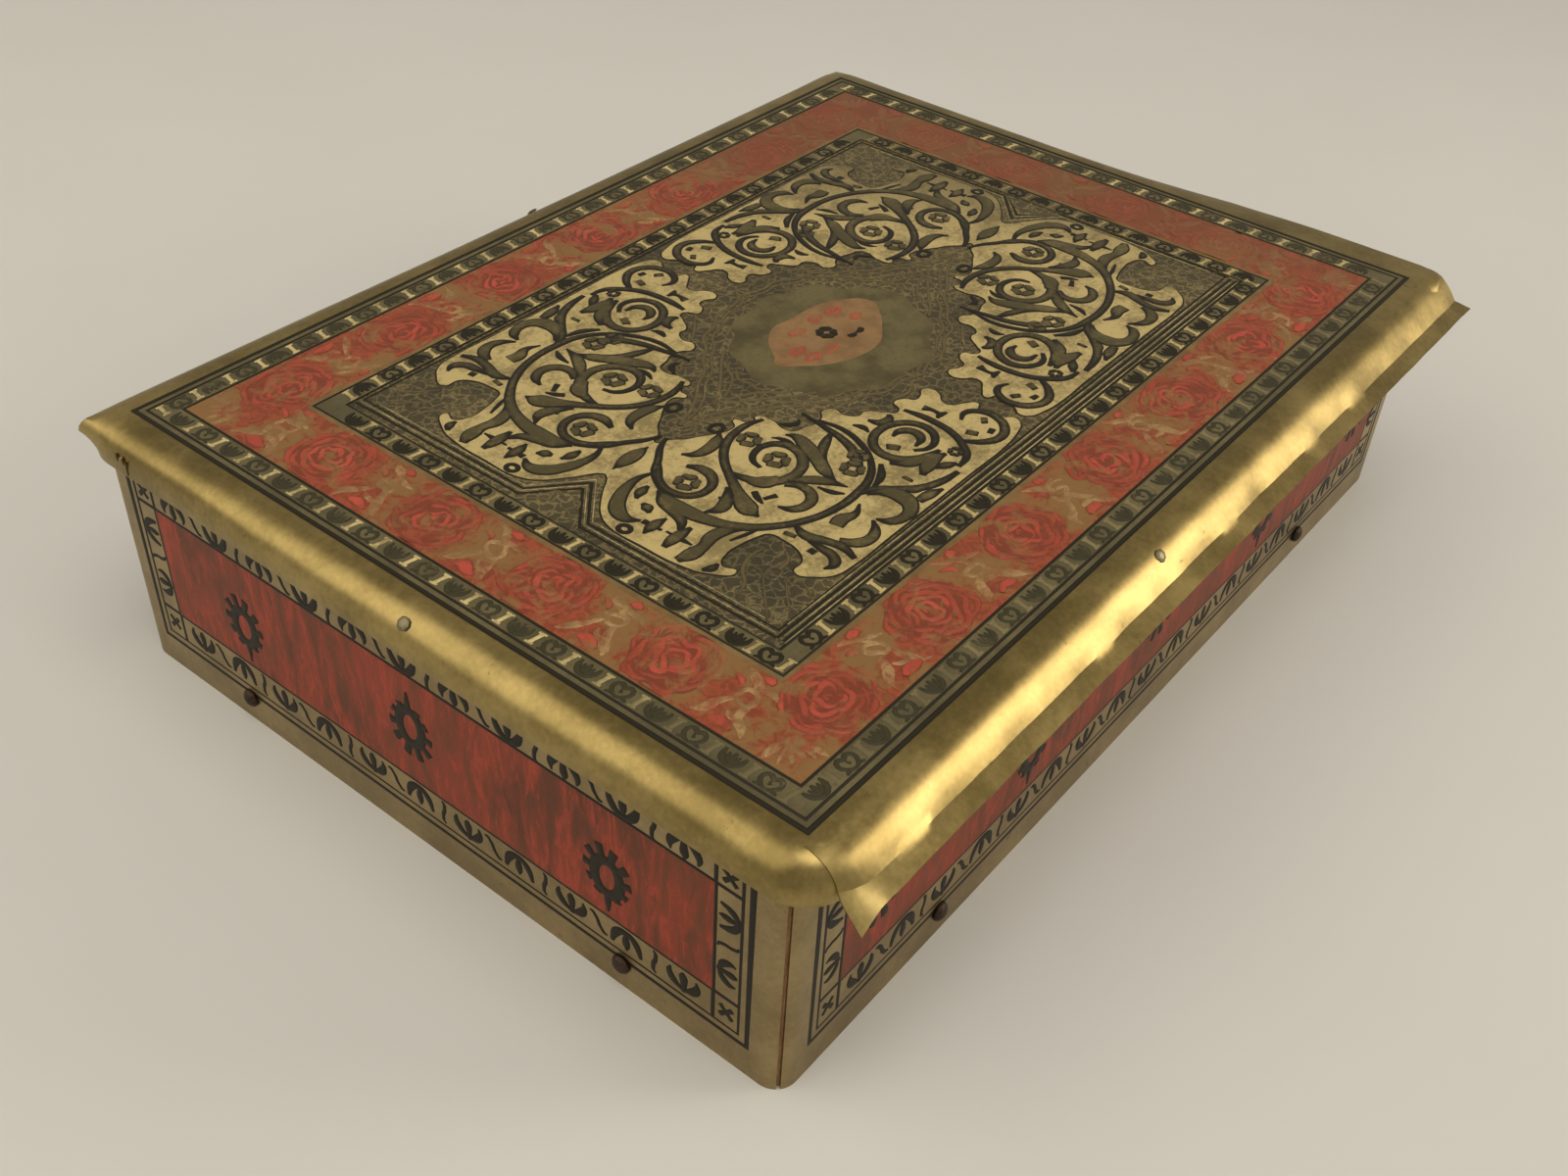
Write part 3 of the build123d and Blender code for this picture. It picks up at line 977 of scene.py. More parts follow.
def round_rectangle(half_width, half_x, half_y):
    corners = rectangle(half_x, half_y)
    return (half_width, *corners, corners[0])


on_lid(ruled("lid_black_lines", [
    round_rectangle(0.42, *outer_line), round_rectangle(0.25, *thin_line),
    round_rectangle(0.26, *red_edge), round_rectangle(0.24, *panel_edge),
    round_rectangle(0.16, *panel_line),
], line_height, ground), black_ink)

# %% [markdown]
# ## Small leaves and bars
# Two little leaves take turns along each band, with a pale bar between them. Each is a handful
# of strokes, drawn once about its own middle and copied along the four sides.

# %% Motifs along a band
def turned(line, angle, x, y, size=1.0):
    """A copy of a line, turned, scaled and moved."""
    c, s = math.cos(angle) * size, math.sin(angle) * size
    return [(x + c * px - s * py, y + s * px + c * py, w * size) for px, py, w in line]


def circle(x, y, radius_x, radius_y, half_width, count=8):
    """A closed ring."""
    angles = [2 * math.pi * i / count for i in range(count)]
    points = [(x + radius_x * math.cos(a), y + radius_y * math.sin(a), half_width) for a in angles]
    return points + points[:1]


def twice(*line):
    """A line and its reflection."""
    return [list(line), [(-x, y, w) for x, y, w in line]]


lotus = [
    *twice((-1.2, 0.85, 0.16), (-1.1, 0.0, 0.34), (-0.5, -0.75, 0.32), (0.0, -0.85, 0.3)),
    [(0, 0.85, 0.16), (0, 0.2, 0.38), (0, -0.6, 0.3)],
    *twice((-0.6, 0.6, 0.12), (-0.5, 0.0, 0.26), (-0.2, -0.6, 0.2)),
]
bud = [
    [(0, -0.95, 0.2), (0.85, -0.45, 0.26), (1.1, 0.3, 0.26), (0.55, 0.85, 0.3), (0, 0.5, 0.3),
     (-0.55, 0.85, 0.3), (-1.1, 0.3, 0.26), (-0.85, -0.45, 0.26), (0, -0.95, 0.2)],
    *twice((-1.3, -0.95, 0.15), (-0.75, -0.75, 0.26)),
    [(-0.1, 0.2, 0.12), (0.1, -0.25, 0.2)],
]
bar = [
    [(-0.16, -0.95, 0.34), (0.0, 0, 0.3), (0.16, 0.95, 0.34)],
    [(-0.7, -0.98, 0.18), (0.4, -0.92, 0.22)],
    [(-0.4, 0.92, 0.22), (0.7, 0.98, 0.18)],
]


corner_room = 1.2


def along_sides(half_x, half_y, steps):
    """Number, turn, x and y of places round a rectangle, from a pitch and a shift for each side."""
    for side, (pitch, shift) in enumerate(steps):
        length, reach = (half_y, half_x) if side % 2 else (half_x, half_y)
        c, s = math.cos(side * math.pi / 2), math.sin(side * math.pi / 2)
        most = math.ceil(length / pitch)
        for i in range(-most, most + 1):
            along = shift + (i + 0.5) * pitch
            if abs(along) < length - corner_room:
                yield i, side * math.pi / 2, c * along + s * reach, s * along - c * reach, pitch


def leaf_band(half_x, half_y, steps, leaf_size, bar_size):
    leaves, bars = [], []
    for i, angle, x, y, pitch in along_sides(half_x, half_y, steps):
        motif = bud if i % 2 else lotus
        leaves += [turned(line, angle, x, y, leaf_size) for line in motif]
        bx, by = x + math.cos(angle) * pitch / 2, y + math.sin(angle) * pitch / 2
        bars += [turned(line, angle, bx, by, bar_size) for line in bar]
    return leaves, bars


outer_leaves, outer_bars = leaf_band(
    63.65, 45.8, [(4.5, -0.9), (4.47, 0.35), (4.5, 0.9), (4.47, -0.35)], 1.0, 0.92)
inner_leaves, inner_bars = leaf_band(
    50.75, 33.0, [(4.26, -1.3), (4.01, -1.4), (4.18, 1.95), (4.01, 1.5)], 1.0, 0.95)
for name, lines, look in (
    ("lid_outer_leaves", outer_leaves, faded_ink), ("lid_inner_leaves", inner_leaves, black_ink),
    ("lid_outer_bars", outer_bars, bar_tin), ("lid_inner_bars", inner_bars, pale_tin),
):
    on_lid(ridges(name, lines, leaf_height, ground, 1, 2), look)

# %% [markdown]
# ## Roses
# Each rose is rings of overlapping petals round a curled heart. Every petal is one short arc
# that swells in its middle, and each ring has one petal more than the ring inside it. Between
# two roses lie buds at both edges, a small ring and thin branches.

# %% The rose band
def uneven(line, amount=0.5):
    """The same line from a less steady hand."""
    shifted = []
    for x, y, w in line:
        place = Vector((x, y, 0)) * mm
        shifted.append((x + amount * ripple(place, 1.3, 5), y + amount * ripple(place, 1.3, 11),
                        w * (1 + 0.6 * ripple(place, 1, 17))))
    return shifted


rose_rings = ((1.0, 3), (1.9, 4), (2.8, 5), (3.7, 6), (4.4, 7))
petal_swells = ((-1, 0.1), (-0.6, 0.3), (-0.2, 0.36), (0.25, 0.4), (0.65, 0.3), (1, 0.1))


def rose(x, y, size, seed):
    """Rings of uneven petals, each an arc that swells in its middle and wavers."""
    petals = [[(x - 0.4 * size, y - 0.1, 0.2), (x + 0.1, y + 0.4 * size, 0.3),
               (x + 0.5 * size, y - 0.1, 0.2)]]
    for ring, (radius, count) in enumerate(rose_rings):
        for k in range(count):
            luck = 1.5 * ripple(Vector((seed * 3.7, ring * 2.3, k * 1.9)) * mm, 1)
            middle = seed + ring * 0.8 + (2 * math.pi * k + luck) / count
            spread = (1.15 + 0.3 * luck) * math.pi / count
            arc = []
            for t, swell in petal_swells:
                angle = middle + t * spread
                wave = 0.22 * math.sin(4 * angle + seed * 5 + ring)
                reach = size * (radius + 0.35 * (1 - t * t) + wave)
                arc.append((x + reach * math.cos(angle) * 1.04, y + reach * math.sin(angle) * 0.93,
                            (swell + 0.1 * luck) * size))
            petals.append(arc)
    return petals


rose_reach_x, rose_reach_y = 57.2, 39.3
heart_petals = 8
rose_places = [(x, side * rose_reach_y) for side in (-1, 1)
               for x in (-51.5, -35, -17.8, 0, 17.8, 35, 51.5)]
rose_places += [(side * rose_reach_x, y) for side in (-1, 1) for y in (-25, -8.3, 8.3, 25)]
rose_lines, rose_hearts = [], []
for number, (x, y) in enumerate(rose_places):
    lines = [uneven(line, 0.7) for line in rose(x, y, 1.0, 1 + number * 1.3)]
    rose_hearts += lines[:heart_petals]
    rose_lines += lines[heart_petals:]


def rose_bed(x, y, seed):
    """The uneven round patch of red under a rose."""
    outline = []
    for k in range(14):
        angle = 2 * math.pi * k / 14
        reach = 4.5 + 0.35 * math.sin(3 * angle + seed) + 0.2 * math.sin(5 * angle)
        outline.append((x + math.cos(angle) * reach, y + math.sin(angle) * reach * 0.95))
    return outline


rose_beds = [rose_bed(x, y, number) for number, (x, y) in enumerate(rose_places)]


def between_roses():
    """Buds, small rings and branches in the gaps of the rose band."""
    buds, branches = [], []
    gaps = [(x, side * rose_reach_y, 0 if side < 0 else math.pi) for side in (-1, 1)
            for x in (-43.2, -26.4, -8.9, 8.9, 26.4, 43.2)]
    gaps += [(side * rose_reach_x, y, side * math.pi / 2) for side in (-1, 1)
             for y in (-33.5, -16.6, 0, 16.6, 33.5)]
    for x, y, angle in gaps:
        buds += [turned(line, angle, x, y) for line in (
            [(-1.1, -3.7, 0.3), (-0.2, -3.5, 0.9), (0.9, -3.7, 0.6), (1.6, -3.9, 0.2)],
            [(-0.4, 3.5, 0.2), (0.4, 3.7, 0.75), (1.2, 3.4, 0.2)],
            [(-1.2, 1.2, 0.15), (-1.7, 2.0, 0.4), (-2.6, 2.4, 0.2)],
        )]
        branches += [turned(line, angle, x, y) for line in (
            circle(0.2, 0.6, 1.0, 0.9, 0.3),
            [(-3.2, -4.1, 0.1), (-2.6, -3.0, 0.55), (-1.6, -1.9, 0.5), (-0.7, -0.4, 0.3)],
            [(3.2, -4.2, 0.1), (2.4, -3.4, 0.5), (1.5, -2.0, 0.55), (0.9, -0.3, 0.35)],
            [(1.5, -2.2, 0.3), (0.4, -2.3, 0.4), (-0.4, -1.7, 0.15)],
            [(0.4, 1.4, 0.3), (-0.1, 2.6, 0.5), (-1.3, 3.4, 0.45), (-2.2, 4.2, 0.15)],
            [(0.1, 2.4, 0.3), (1.7, 2.3, 0.4), (2.6, 1.6, 0.12)],
        )]
    for end_x, end_y in ((-1, -1), (-1, 1), (1, -1), (1, 1)):
        branches += [turned([(1.2, 0, .3), (2.6, lean, .5), (4.6, lean * 2.2, .1)],
                            math.atan2(end_y, end_x), end_x * 57.0, end_y * 39.2)
                     for lean in (-1.6, -0.9, -0.3, 0.3, 0.9, 1.6)]
    return [uneven(line) for line in buds], [uneven(line, 0.9) for line in branches]


def cropped(piece):
    """Keeps a drawing between the two edges of the rose band."""
    most_x, most_y = (edge - 0.35 for edge in red_edge)
    least_x, least_y = (edge - 0.1 for edge in tan_edge)
    for vertex in piece.data.vertices:
        x, y, z = vertex.co
        x, y = min(most_x, max(-most_x, x)), min(most_y, max(-most_y, y))
        if abs(x) < least_x and abs(y) < least_y:
            if least_x - abs(x) < least_y - abs(y):
                x = math.copysign(least_x, x)
            else:
                y = math.copysign(least_y, y)
        vertex.co.xy = x, y
    return piece


buds, branches = between_roses()
for piece, look in [
    (plates("lid_rose_beds", rose_beds, 0.05, 0.02, ground, 2), petal),
    (ridges("lid_roses", rose_lines, stem_height, ground, 1, 2), petal),
    (ridges("lid_rose_hearts", rose_hearts + buds, stem_height, ground + 0.015, 1, 2), pink_petal),
    (ridges("lid_branches", branches, line_height, ground, 1, 2), tan),
]:
    on_lid(cropped(piece), look)

# %% [markdown]
# ## The arabesque
# The panel is the same drawing four times: one quarter, turned over left to right and top to
# bottom. It is printed about a millimetre off the middle of its borders, to the right and the
# back. The pale tin is one field for each half, with lobes and spurs along its edge. On it lie
# the stems, which curl into spirals, and the leaves that swell out of them.

# %% Off the middle
panel_right, panel_back = 49.0, 31.4


def off_middle(piece):
    """Sets the quarters of a drawing a little right and back, as the crooked print has them."""
    for vertex in piece.data.vertices:
        x, y, z = vertex.co
        right, front = part_way(x, -10, 10), part_way(-y, -6, 6)
        move_x = 0.15 + 0.15 * front + right * (0.95 + 0.4 * front)
        move_y = front * (1.25 + 0.25 * right)
        vertex.co.xy = min(panel_right, x + move_x), min(panel_back, y + move_y)
    return piece


# %% The pale field
pale_quarter = [
    (39.9, 0.3), (42.7, 2.6), (45.4, 5.2), (46.5, 7.6), (46.6, 12.0), (46.4, 17.0), (45.5, 20.2),
    (43.3, 22.2), (43.6, 20.5), (41.8, 19.5), (39.6, 19.6), (37.4, 20.1), (36.2, 20.7),
    (36.0, 22.6), (36.4, 24.8), (37.5, 26.2), (39.5, 26.7), (38.6, 28.8), (37.0, 30.1),
    (34.4, 30.5), (28.0, 30.5), (20.0, 30.5), (12.0, 30.5), (5.4, 30.5), (2.8, 30.1),
    (0.9, 29.3), (0.5, 28.2), (1.2, 27.2), (1.5, 25.6), (1.9, 24.2), (0.8, 23.3),
    (1.8, 22.2), (3.2, 21.1), (3.2, 19.9),
    (2.2, 18.8), (1.9, 17.6), (2.7, 16.7), (3.8, 17.3), (4.9, 17.4), (5.7, 16.2), (7.0, 15.8),
    (7.6, 17.0), (8.5, 17.3), (9.3, 16.2), (10.7, 14.4), (11.9, 14.4), (12.9, 13.0),
    (12.7, 11.4), (13.9, 10.6),
    (15.0, 11.4), (16.4, 11.7), (18.0, 11.2), (19.5, 10.8), (19.9, 9.4), (19.4, 7.6), (20.0, 5.6),
    (21.0, 6.3), (21.8, 5.4), (22.2, 4.0), (23.3, 5.1), (24.8, 5.0), (26.2, 4.2), (27.6, 3.2),
    (29.0, 2.3), (30.2, 1.0), (31.6, 0.3),
]


def half_outline(quarter):
    """The outline of a half, from a quarter and its reflection."""
    return quarter + [(x, -y) for x, y in reversed(quarter)]


pale_thick = 0.10
pale = plates("lid_pale_fields", [half_outline(pale_quarter)], pale_thick, 0.035)
on_lid(off_middle(mirrored(pale, False)), pale_tin)
edge_line = [(x, y, 0.2) for x, y in half_outline(pale_quarter)]
edge = ridges("lid_pale_edges", [edge_line + edge_line[:1]], line_height, ground, 1, 4)
on_lid(off_middle(mirrored(edge, False)), black_ink)

# %% The stems and leaves
stems = [
    [(38.2, 7.0, .25), (39.0, 9.0, .65), (39.1, 11.5, .75), (38.7, 14.5, .6), (37.4, 17.6, .5),
     (35.0, 20.2, .42), (32.0, 22.1, .4), (28.5, 23.2, .38), (24.0, 23.3, .4), (20.9, 22.6, .35),
     (18.1, 20.6, .3), (16.3, 17.9, .3), (15.4, 14.6, .28), (15.8, 11.6, .2)],
    [(37.9, 7.1, .3), (36.1, 4.3, .35), (34.0, 2.8, .35), (32.0, 1.2, .3), (30.2, .4, .2)],
    [(33.6, 2.4, .2), (35.3, 4.1, .35), (37.0, 6.0, .38), (37.6, 8.2, .4), (36.7, 10.2, .4),
     (34.7, 10.9, .4), (32.8, 10.0, .45), (32.1, 8.1, .5), (32.8, 6.2, .25)],
    [(34.7, 18.1, .1), (34.4, 16.4, .85), (32.9, 13.8, .55), (31.2, 11.2, .42), (29.2, 8.6, .4),
     (27.0, 6.9, .4), (24.4, 6.0, .4), (22.0, 6.0, .35), (20.0, 6.7, .2)],
    [(30.5, 10.4, .2), (30.3, 12.4, .42), (29.3, 14.6, .5), (27.5, 15.9, .5), (25.2, 16.1, .48),
     (23.2, 15.0, .48), (22.2, 13.1, .48), (22.5, 11.3, .42), (23.8, 10.2, .36), (25.6, 10.1, .32),
     (27.1, 11.0, .28), (27.6, 12.5, .2)],
    [(31.9, 18.4, .15), (31.3, 19.8, .42), (29.6, 20.6, .48), (27.9, 19.9, .5), (27.3, 18.0, .45),
     (28.2, 16.4, .35)],
    [(33.2, 21.8, .2), (33.9, 23.8, .5), (33.2, 26.0, .45), (32.9, 28.0, .42), (33.6, 30.0, .25)],
    [(24.2, 23.4, .3), (22.4, 24.3, .4), (20.6, 26.2, .42), (18.6, 28.0, .42), (16.0, 29.0, .38),
     (13.4, 29.3, .25)],
    [(12.2, 25.2, .25), (14.6, 24.3, .45), (16.1, 22.5, .48), (16.2, 20.3, .45), (14.9, 18.6, .42),
     (12.7, 17.9, .42), (10.4, 18.5, .42), (8.9, 20.2, .4), (8.8, 22.3, .38), (10.1, 23.9, .34),
     (11.9, 24.2, .28), (13.4, 23.2, .2)],
    [(7.5, 17.6, .2), (7.2, 19.6, .34), (7.2, 22.0, .36), (7.6, 24.4, .36), (8.8, 26.8, .36),
     (10.4, 28.4, .34), (12.6, 28.8, .2)],
    [(8.2, 26.2, .25), (6.8, 28.2, .38), (4.8, 29.2, .42), (2.8, 28.4, .42), (1.8, 26.6, .4),
     (2.0, 24.6, .36), (3.4, 23.3, .3), (4.9, 23.8, .15)],
]
leaves = [
    [(38.0, 13.2, .12), (36.2, 14.1, .55), (34.3, 13.3, .45), (32.8, 12.1, .15)],
    [(24.0, 20.2, .12), (23.4, 18.4, .55), (22.2, 16.4, .65), (20.9, 13.8, .7), (20.2, 11.6, .45),
     (20.7, 10.5, .12)],
    [(22.0, 13.0, .12), (21.6, 11.8, .28), (21.7, 10.6, .24), (22.2, 9.7, .1)],
    [(22.6, 18.0, .2), (21.0, 16.0, .4), (18.7, 14.8, .42), (16.2, 14.0, .12)],
    [(24.0, 21.9, .1), (24.7, 19.6, .5), (26.1, 17.6, .52), (28.0, 16.0, .25)],
    [(32.6, 16.9, .12), (32.2, 15.9, .28), (31.5, 14.8, .28)],
    [(31.9, 16.4, .2), (30.4, 17.1, .28)],
    [(37.1, 28.6, .12), (35.9, 29.0, .4), (34.8, 28.1, .45), (34.5, 26.4, .4), (34.4, 24.6, .2)],
    [(35.6, 26.4, .3), (35.5, 25.5, .32)],
    [(35.2, 22.5, .5), (34.6, 22.4, .5)],
    [(32.2, 26.9, .35), (31.4, 28.5, .55), (29.8, 29.2, .5), (28.2, 28.7, .4), (27.0, 27.5, .15)],
    [(30.4, 25.1, .6), (29.1, 24.9, .62), (27.4, 25.4, .36), (25.6, 24.7, .12)],
    [(26.6, 27.6, .15), (26.0, 28.9, .45), (24.3, 29.7, .5), (22.4, 29.2, .65), (21.5, 27.4, .8),
     (22.2, 25.3, .5), (23.6, 24.1, .25)],
    [(20.9, 29.1, .4), (18.9, 29.4, .5), (17.2, 29.9, .15)],
    [(18.6, 25.9, .5), (18.1, 25.9, .45)],
    [(16.7, 26.7, .25), (15.0, 26.2, .62), (12.8, 25.9, .55), (11.4, 26.3, .2)],
    [(22.0, 24.0, .2), (19.9, 23.4, .36), (18.0, 22.0, .2)],
    [(14.9, 21.4, .5), (14.0, 20.9, .6)],
    [(12.6, 22.9, .15), (10.9, 22.5, .4), (10.3, 21.0, .45), (11.3, 19.8, .4), (12.7, 19.8, .15)],
    [(6.6, 26.4, .5), (5.8, 26.1, .5)],
    [(3.5, 25.6, .45), (3.0, 26.2, .4)],
    [(5.0, 27.8, .25), (4.0, 27.6, .3)],
    [(6.4, 21.5, .15), (5.5, 21.4, .3), (4.7, 21.7, .15)],
    [(5.5, 21.3, .25), (5.4, 20.2, .22), (5.7, 19.0, .4)],
    [(11.9, 15.7, .2), (11.4, 17.1, .45), (10.1, 17.4, .42), (9.3, 16.9, .2)],
    [(13.9, 17.3, .1), (13.5, 16.2, .34), (13.9, 15.0, .15)],
    [(43.1, 16.0, .1), (43.1, 14.4, .26), (43.1, 12.4, .1)],
    [(45.3, 14.0, .25), (44.0, 13.9, .5), (42.4, 13.9, .5), (40.9, 14.0, .2)],
    [(45.0, 10.9, .12), (43.9, 10.8, .45), (42.6, 10.8, .45), (41.4, 11.0, .12)],
    [(43.3, 12.0, .15), (43.4, 9.4, .3)],
    [(42.0, 13.4, .25), (40.7, 12.4, .45), (40.0, 10.4, .5), (39.6, 8.6, .4), (38.4, 7.2, .2)],
    [(43.5, 9.2, .15), (44.3, 7.8, .5), (43.8, 6.1, .68), (42.0, 4.6, .64), (40.0, 3.8, .52),
     (38.0, 3.6, .35), (36.3, 4.2, .2)],
    [(42.0, 9.0, .15), (41.4, 8.2, .48), (41.1, 7.3, .2)],
    [(41.0, 6.2, .15), (39.7, 5.7, .5), (38.4, 5.6, .2)],
    [(46.0, 16.4, .35), (44.4, 16.9, .68), (42.4, 17.0, .5), (40.6, 16.6, .6), (38.8, 17.1, .5),
     (37.5, 18.3, .15)],
    [(45.5, 19.4, .2), (44.6, 20.0, .4), (43.6, 20.0, .15)],
    [(15.9, 9.2, .15), (16.4, 12.6, .3), (17.2, 16.4, .4), (18.6, 19.0, .4), (21.0, 21.6, .2)],
    [(30.4, 12.3, .3), (29.6, 14.4, .75), (27.9, 15.4, .5)],
    [(17.2, 22.6, .25), (15.7, 24.3, .55), (13.5, 25.0, .5), (11.3, 25.4, .2)],
    [(20.5, 26.2, .2), (19.5, 27.5, .5), (18.4, 28.3, .2)],
    [(14.7, 26.8, .2), (13.3, 27.6, .45), (12.1, 28.3, .2)],
    [(39.9, 18.4, .12), (38.0, 19.0, .2), (36.6, 19.4, .12)],
    [(26.2, 19.4, .12), (25.9, 21.2, .3), (25.2, 22.4, .12)],
    [(19.4, 8.6, .12), (18.2, 10.0, .3), (17.2, 9.8, .12)],
    [(34.9, 12.6, .15), (34.2, 14.2, .4), (33.2, 13.2, .15)],
    [(31.5, 4.1, .15), (30.5, 5.4, .45), (28.4, 5.8, .6), (26.6, 5.3, .5), (25.4, 4.6, .15)],
    circle(45.7, 8.9, 0.6, 0.7, 0.22),
    circle(24.9, 3.6, 0.9, 0.8, 0.2),
]
axis_leaves = [[(38.7, 0, .1), (37.3, 0, .8), (35.6, 0, 1.15), (34.0, 0, .75), (32.8, 0, .1)]]


def flower(x, y, size, turn=0.4):
    """Four round petals about a middle."""
    petals = []
    for k in range(4):
        angle = turn + k * math.pi / 2
        c, s = math.cos(angle) * size, math.sin(angle) * size
        petals.append([(x + c * out, y + s * out, size * half_width)
                       for out, half_width in ((0.25, 0.24), (0.65, 0.62), (0.95, 0.48))])
    return petals


flowers = [f for x, y, size in (
    (35.1, 8.3, 1.55), (25.2, 12.9, 1.6), (24.2, 8.1, 1.5), (20.9, 20.2, 1.5), (18.5, 19.2, 1.3),
    (10.4, 26.9, 0.95), (43.6, 16.9, 0.9),
) for f in flower(x, y, size)]


def heavier(lines, times):
    """The same lines from a broader pen."""
    return [[(x, y, w * times) for x, y, w in line] for line in lines]


flat_top = 0.17
strokes = heavier(stems + leaves, 1.5) + flowers
arabesque = mirrored(ridges("quarter", strokes, stem_height, pale_thick, 2, 4, flat_top))
along_axis = mirrored(ridges("axis", axis_leaves, stem_height, pale_thick, 2, 4, flat_top), False)
on_lid(off_middle(joined("lid_arabesque", [arabesque, along_axis])), dark_leaf)

black_quarter = [
    (0.2, (0, 31.1), (47.5, 31.1), (47.5, 5.3), (41.9, 0)),
    (0.2, (48.5, 31.6), (48.5, 5.0), (43.3, 0)),
]
quarter_lines = off_middle(mirrored(ruled("quarter_lines", black_quarter, line_height, ground)))
front_lines = ruled(
    "front_lines", [(0.2, (-48.2, y), (48.8, y)) for y in (-30.4, -31.2)], line_height, ground)
on_lid(joined("lid_panel_lines", [quarter_lines, front_lines]), black_ink)

# %% [markdown]
# ## The cartouche
# Between the pale fields lies a dark shape like a lobed diamond. Fine raised lines follow its
# edge and catch the light, a smooth greenish patch fills its middle, and a worn oval medallion
# sits in the patch.

# %% Lines, patch and medallion
contours = [
    [(27.2, .5, .14), (24.6, 1.3, .2), (21.6, 3.0, .2), (19.0, 5.0, .2), (16.4, 6.4, .2),
     (14.6, 8.2, .22), (12.4, 9.6, .2), (10.6, 11.6, .22), (8.0, 12.2, .2), (5.6, 13.8, .2),
     (2.8, 13.8, .2), (0, 14.8, .2)],
    [(26.2, .3, .12), (23.8, .8, .16), (20.8, 2.3, .18), (18.4, 4.3, .18), (15.8, 5.7, .18),
     (13.9, 7.6, .18), (11.7, 8.9, .18), (9.8, 10.8, .18), (7.4, 11.5, .16), (5.0, 13.0, .16),
     (2.6, 13.1, .16), (0, 14.0, .16)],
    [(21.4, .1, .14), (18.6, 1.9, .2), (16.4, 3.7, .2), (14.9, 5.0, .2), (13.3, 6.4, .2),
     (11.2, 7.6, .16)],
    [(20.0, .1, .14), (17.4, 1.2, .18), (15.2, 2.8, .2), (14.3, 4.4, .18), (12.8, 5.4, .14)],
    [(14.9, 0, .2), (15.2, 1.6, .2), (14.2, 3.0, .2)],
    [(23.8, 5.6, .14), (22.0, 7.2, .2), (20.6, 8.6, .14)],
    [(18.8, 8.4, .12), (17.4, 10.0, .2), (15.0, 9.6, .14)],
    [(12.4, 12.0, .12), (10.0, 13.6, .2), (8.4, 15.0, .12)],
    [(6.6, 15.2, .12), (4.4, 15.8, .2), (2.6, 15.2, .12)],
    [(28.6, 1.1, .12), (27.6, 1.9, .22), (26.4, 1.6, .22), (26.2, .6, .2), (27.2, .3, .14)],
    [(46.6, 2.6, .1), (45.4, 1.6, .22), (45.8, .7, .1)],
    [(48.4, 3.6, .1), (47.4, 2.0, .16), (47.2, .7, .1)],
    [(1.6, 21.4, .12), (.6, 20.2, .2), (1.2, 19.0, .2), (.2, 18.2, .12)],
    [(.2, 26.0, .12), (.7, 24.6, .2), (.2, 23.6, .12)],
]
spandrel_curls = [
    [(46.2, 24.6, .1), (44.2, 24.0, .16), (42.6, 22.4, .2), (40.4, 21.6, .16), (38.4, 21.8, .1)],
    [(37.4, 24.0, .1), (38.4, 25.0, .18), (40.2, 25.2, .1)],
    [(47.6, 29.8, .08), (44.6, 27.0, .12), (41.4, 24.0, .08)],
    [(44.6, 30.2, .08), (42.4, 28.0, .12), (40.4, 26.4, .08)],
    [(41.4, 30.4, .08), (40.6, 29.2, .12), (40.0, 28.0, .08)],
]
fine_lines = ridges(
    "lid_fine_lines", heavier(contours + spandrel_curls, 1.25), leaf_height, ground, 1, 4)
on_lid(off_middle(mirrored(fine_lines)), brass_ridge)
bright_quarter = [
    (0.13, (47.0, 29.0), (47.0, 5.5), (41.2, 0)),
    (0.13, (48.0, 31.2), (48.0, 5.2), (42.6, 0)),
]
bright_lines = off_middle(mirrored(ruled("quarter_ridges", bright_quarter, leaf_height, ground)))
front_places = ((-46, -29.95), (-47.6, -30.8), (-48.4, -31.5))
front_ridges = ruled(
    "front_ridges", [(0.13, (x, y), (-x, y)) for x, y in front_places], leaf_height, ground)
on_lid(joined("lid_panel_ridges", [bright_lines, front_ridges]), dull_tin)

patch_outline = [
    (15.0, 0.5), (13.2, 4.2), (10.6, 6.6), (9.4, 9.6), (5.6, 10.6), (2.6, 12.2), (-1.8, 11.4),
    (-5.4, 11.2), (-7.6, 9.0), (-10.8, 7.2), (-12.2, 3.8), (-13.8, 0.4), (-12.4, -3.6),
    (-11.0, -7.4), (-7.6, -9.4), (-4.4, -12.0), (0.4, -11.6), (4.8, -12.2), (8.2, -9.4),
    (11.6, -7.6), (13.4, -3.6),
]
medallion_outline = [
    (-9.9, 0.8), (-8.4, 2.8), (-6.0, 4.6), (-3.0, 6.4), (0.6, 7.0), (4.4, 6.4), (8.0, 4.6),
    (11.3, 1.6), (9.4, -1.2), (6.6, -3.6), (3.6, -5.2), (-0.8, -5.0), (-4.8, -3.8), (-8.0, -1.4),
]
on_lid(plates("lid_green_patch", [patch_outline], 0.05, 0.02), green)
ragged = [(x, y) for x, y, w in uneven([(x, y, 1) for x, y in medallion_outline], 0.9)]
on_lid(plates("lid_medallion", [ragged], 0.09, 0.03), medallion_tan)

medallion_petals = [
    uneven(circle(x, y, 1.05, 0.5, 0.24), 0.3) for x, y in (
        (-1.7, 3.7), (2.6, 4.2), (5.6, 3.6), (-5.0, 0.9), (6.6, 0.8), (-4.8, -1.3), (-2.0, -1.8))
]
on_lid(ridges("lid_medallion_petals", medallion_petals, 0.06, 0.09, 1, 3), pink_petal)
medallion_marks = flower(0.7, 1.0, 1.4, math.pi / 4) + [
    [(1.9, -1.5, .4), (2.6, -1.8, .46), (3.2, -1.7, .2), (3.9, -1.8, .44), (4.6, -1.5, .4)]]
on_lid(ridges("lid_medallion_marks", medallion_marks, 0.09, 0.09, 2, 4), black_ink)

